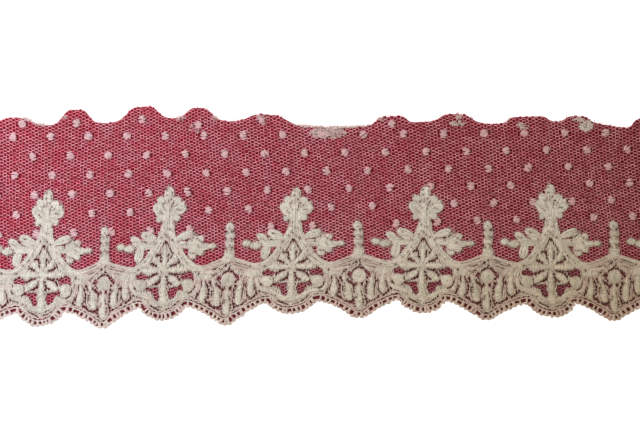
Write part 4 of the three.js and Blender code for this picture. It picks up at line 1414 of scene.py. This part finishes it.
def in_net(x, y):
    """True where the net shows: between the ladder edge and the cut, not well under stitches, and not in
    the small hole at each side of a dot, where its stitches draw the net open."""
    keep = (np.abs(x) < HALF_LENGTH - NET_END_MARGIN) & (y < upper_edge(x, NET_CUT_INSET))
    keep = keep & (y > lower_edge(x, NET_EDGE_INSET))
    s, t = unlaid(x[keep], y[keep])
    covered = worked_depth(s, t) > NET_UNDER_DARNING
    aside = np.abs(x[keep][:, None] - dot_x)
    level = np.abs(y[keep][:, None] - dot_y)
    drawn_open = ((aside > HOLE_START) & (aside < HOLE_END) & (level < HOLE_HALF)).any(1)
    keep[keep] = ~covered & ~drawn_open & (line_margin(GAPS, s, t, GAP_SWELL) > NET_GAP_MARGIN)
    return keep


def net_cotton():
    """Fine cotton with the crimson glowing through: a rose tint that noise moves towards white, paler
    with painted light towards the left end, and darker with painted shade in the embroidery's windows."""
    material, wire, shader = new_material("net_cotton")
    place = wire.place()
    noise = wire.noise(place, PATCH_SCALE, 3.0) * 0.5 + wire.noise(place, STRAND_SCALE, 1.0) * 0.5
    mottle = wire.ramp(noise, *NET_MOTTLE_RAMP)
    (along,) = wire.parts(place, "X")
    left = share_left(along)
    rose = left.blend(mottle.blend(*NET_RIGHT), mottle.blend(*NET_LEFT))
    shade = wire.point_value("shade") * (1.2 - left)
    shade.tint(rose, NET_SHADED).into(shader, "Base Color")
    return material


def net_threads(path, sizes):
    """Three-sided threads of the net along each path, uneven in width and height."""
    return thread_points(path, *(size * uneven(path.shape[:2]) for size in sizes), NET_SIDES)


knot_x, knot_y = net_places(NET_COLUMNS, NET_ROWS)
knots = np.stack([knot_x, knot_y, np.full_like(knot_x, NET_LEVEL)], -1)
middle = (knots[:, 1:] + knots[:, :-1]) / 2
upright_shown = in_net(middle[..., 0], middle[..., 1])
uprights = net_threads(knots, NET_THREAD)
upright_faces = thread_faces(NET_COLUMNS, NET_ROWS, NET_SIDES)[upright_shown].reshape(-1, 4)
column_number = np.arange(1, NET_COLUMNS)[:, None] - NET_COLUMNS // 2
row_number = np.arange(NET_ROWS)[None, :] - NET_ROWS // 2
rung_here = (column_number + row_number) % 2 == 1
rung_path = np.stack([knots[:-1][rung_here], knots[1:][rung_here]], 1)
rung_middle = rung_path.mean(1)
rung_path = rung_path[in_net(rung_middle[:, 0], rung_middle[:, 1])]
rungs = net_threads(rung_path, NET_RUNG)
rung_faces = thread_faces(len(rung_path), 2, NET_SIDES).reshape(-1, 4) + uprights.size // 3
points = np.concatenate([uprights.reshape(-1, 3), rungs.reshape(-1, 3)])
used, faces = np.unique(np.concatenate([upright_faces, rung_faces]), return_inverse=True)
faces = faces.reshape(-1, 4)
net_s, net_t = unlaid(points[used][:, 0], points[used][:, 1])
# Painted shade on the net inside the windows of the worked ground.
net_values = {"shade": np.clip(worked_top(net_s) - net_t, 0, 1)}
net = add_mesh("net_ground", points[used], [faces], net_cotton(), None, net_values)
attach(net, "root")
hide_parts("lace")


# The cut edge: bits of net doubled over, mended spots and thread ends left by the scissors.
# Short strands of cotton lie tangled in patches, and single ends stand out of the edge.
PATCHES = table(
    "x y half_x half_y strands blush",
    (2.6, 26.2, 5.8, 1.7, 180, 0.55),
    (-3.5, 28.6, 5.0, 0.4, 60, 0.45),
    (9.0, 28.7, 7.0, 0.4, 80, 0.45),
    (-91.0, 30.9, 2.2, 0.5, 26, 0.5),
    (-87.4, 29.5, 2.2, 0.5, 26, 0.5),
    (83.4, 28.4, 2.2, 1.7, 90, 0.25),
    (80.9, 30.4, 1.8, 0.5, 26, 0.4),
    (43.1, 29.1, 2.4, 0.8, 34, 0.4),
    (43.5, 31.0, 0.7, 1.3, 14, 0.5),
    (63.3, 28.4, 1.9, 0.9, 26, 0.4),
    (19.4, 30.8, 1.3, 0.9, 12, 0.75),
    (-18.3, 30.8, 1.4, 1.4, 14, 0.75),
    (-80.3, 30.8, 1.3, 0.9, 10, 0.75),
    (-43.7, 31.0, 1.6, 0.8, 12, 0.75),
    (-32.6, 31.0, 1.1, 0.8, 10, 0.75),
    (-38.9, 27.6, 1.9, 1.4, 12, 0.75),
)
PATCH_CUT_INSET = 0.35
EDGE_ENDS = 45
END_CUT_INSET = 0.3
BIT_STEPS = 5
BIT_SEED = 8
BIT_THREAD = (0.1, 0.08, 4)
BIT_PALENESS = 2.2


def bent_lines(x, y, heading, along, bend):
    """Lines through each place: along their heading, and aside by bend times the square of the way."""
    aside = bend * along**2
    path_x = x[:, None] + along * np.cos(heading) - aside * np.sin(heading)
    path_y = y[:, None] + along * np.sin(heading) + aside * np.cos(heading)
    return path_x, path_y


def tangled_bits():
    """Strands of each patch: slightly bent lines about a mesh or two long, strewn over an ellipse by
    chance."""
    draw = np.random.default_rng(BIT_SEED)
    every = np.repeat(PATCHES, PATCHES["strands"].astype(int))
    angle = draw.uniform(0, 2 * np.pi, len(every))
    spread = np.sqrt(draw.uniform(0, 1, len(every)))
    x = every["x"] + every["half_x"] * spread * np.cos(angle)
    y = every["y"] + every["half_y"] * spread * np.sin(angle)
    y = np.minimum(y, upper_edge(x, PATCH_CUT_INSET))
    heading = draw.normal(0, 0.7, len(every))[:, None]
    along = draw.uniform(0.35, 0.8, len(every))[:, None] * np.linspace(-1, 1, BIT_STEPS)
    bend = draw.normal(0, 0.25, len(every))[:, None]
    path_x, path_y = bent_lines(x, y, heading, along, bend)
    path_z = NET_LEVEL + draw.uniform(0.12, 0.36, len(every))[:, None] + np.zeros_like(along)
    bits = closed_threads(np.stack([path_x, path_y, path_z], -1), *BIT_THREAD, every["blush"][:, None])
    bits["tone"] += BIT_PALENESS
    return bits


def edge_ends():
    """Single ends: short bent lines that start just inside the cut and lean out of it."""
    draw = np.random.default_rng(BIT_SEED + 1)
    x = draw.uniform(-HALF_LENGTH + 1, HALF_LENGTH - 1, EDGE_ENDS)
    heading = draw.normal(np.pi / 2, 0.7, EDGE_ENDS)[:, None]
    along = draw.uniform(0.3, 0.9, EDGE_ENDS)[:, None] * np.linspace(-0.6, 1, BIT_STEPS)
    bend = draw.normal(0, 0.4, EDGE_ENDS)[:, None]
    path_x, path_y = bent_lines(x, upper_edge(x, END_CUT_INSET), heading, along, bend)
    path = np.stack([path_x, path_y, np.full_like(path_x, NET_LEVEL)], -1)
    return closed_threads(path, *BIT_THREAD, 0.8)


cut_bits = add_threads("cut_edge_bits", [tangled_bits(), edge_ends()], dot_cotton)


# The table that the trim lies on: plain, pale and matt, with a glow of its own that keeps it white.
# Soft light falls from above and the left, warm light fills the room, and a camera looks straight down.
FLOOR_HALF = 1.2
FLOOR_DROP = 0.0001
FLOOR_COLOUR = (0.92, 0.92, 0.92, 1)
FLOOR_GLOW = 0.7
LIGHT_PLACE = (-0.22, 0.12, 0.36)
LIGHT_AIM = (-0.06, 0, 0)
LIGHT_SIZE = 0.5
LIGHT_POWER = 2.5
LIGHT_COLOUR = (0.91, 0.945, 1.0)
ROOM_COLOUR = (1.0, 0.84, 0.62, 1)
ROOM_STRENGTH = 0.35
VIEW_WIDTH = 0.2
VIEW_MIDDLE_Y = 0.0012
VIEW_LEVEL = 0.002
LENS = 85.0
SENSOR = 36.0

floor_material, _, floor_shader = new_material("pale_table", sheen=0.0)
floor_shader.inputs["Base Color"].default_value = FLOOR_COLOUR
floor_shader.inputs["Emission Color"].default_value = (1, 1, 1, 1)
floor_shader.inputs["Emission Strength"].default_value = FLOOR_GLOW
floor_corners = np.array([[-1, -1], [1, -1], [1, 1], [-1, 1]]) * FLOOR_HALF / MM
floor_points = np.concatenate([floor_corners, np.full((4, 1), -FLOOR_DROP / MM)], 1)
floor = add_mesh("table", floor_points, [np.array([[0, 1, 2, 3]])], floor_material)

light = bpy.data.lights.new("window_light", "AREA")
light.size = LIGHT_SIZE
light.energy = LIGHT_POWER
light.color = LIGHT_COLOUR
lamp = bpy.data.objects.new("window_light", light)
lamp.location = LIGHT_PLACE
lamp.rotation_euler = (Vector(LIGHT_AIM) - Vector(LIGHT_PLACE)).to_track_quat("-Z", "Y").to_euler()
bpy.context.collection.objects.link(lamp)

world = bpy.data.worlds.new("soft_room")
world.use_nodes = True
room_light = world.node_tree.nodes["Background"]
room_light.inputs["Color"].default_value = ROOM_COLOUR
room_light.inputs["Strength"].default_value = ROOM_STRENGTH
bpy.context.scene.world = world
bpy.context.scene.view_settings.view_transform = "Standard"

camera_data = bpy.data.cameras.new("camera")
camera_data.lens = LENS
camera_data.sensor_width = SENSOR
camera = bpy.data.objects.new("camera", camera_data)
camera.location = (0, VIEW_MIDDLE_Y, VIEW_WIDTH * LENS / SENSOR + VIEW_LEVEL)
bpy.context.collection.objects.link(camera)
bpy.context.scene.camera = camera
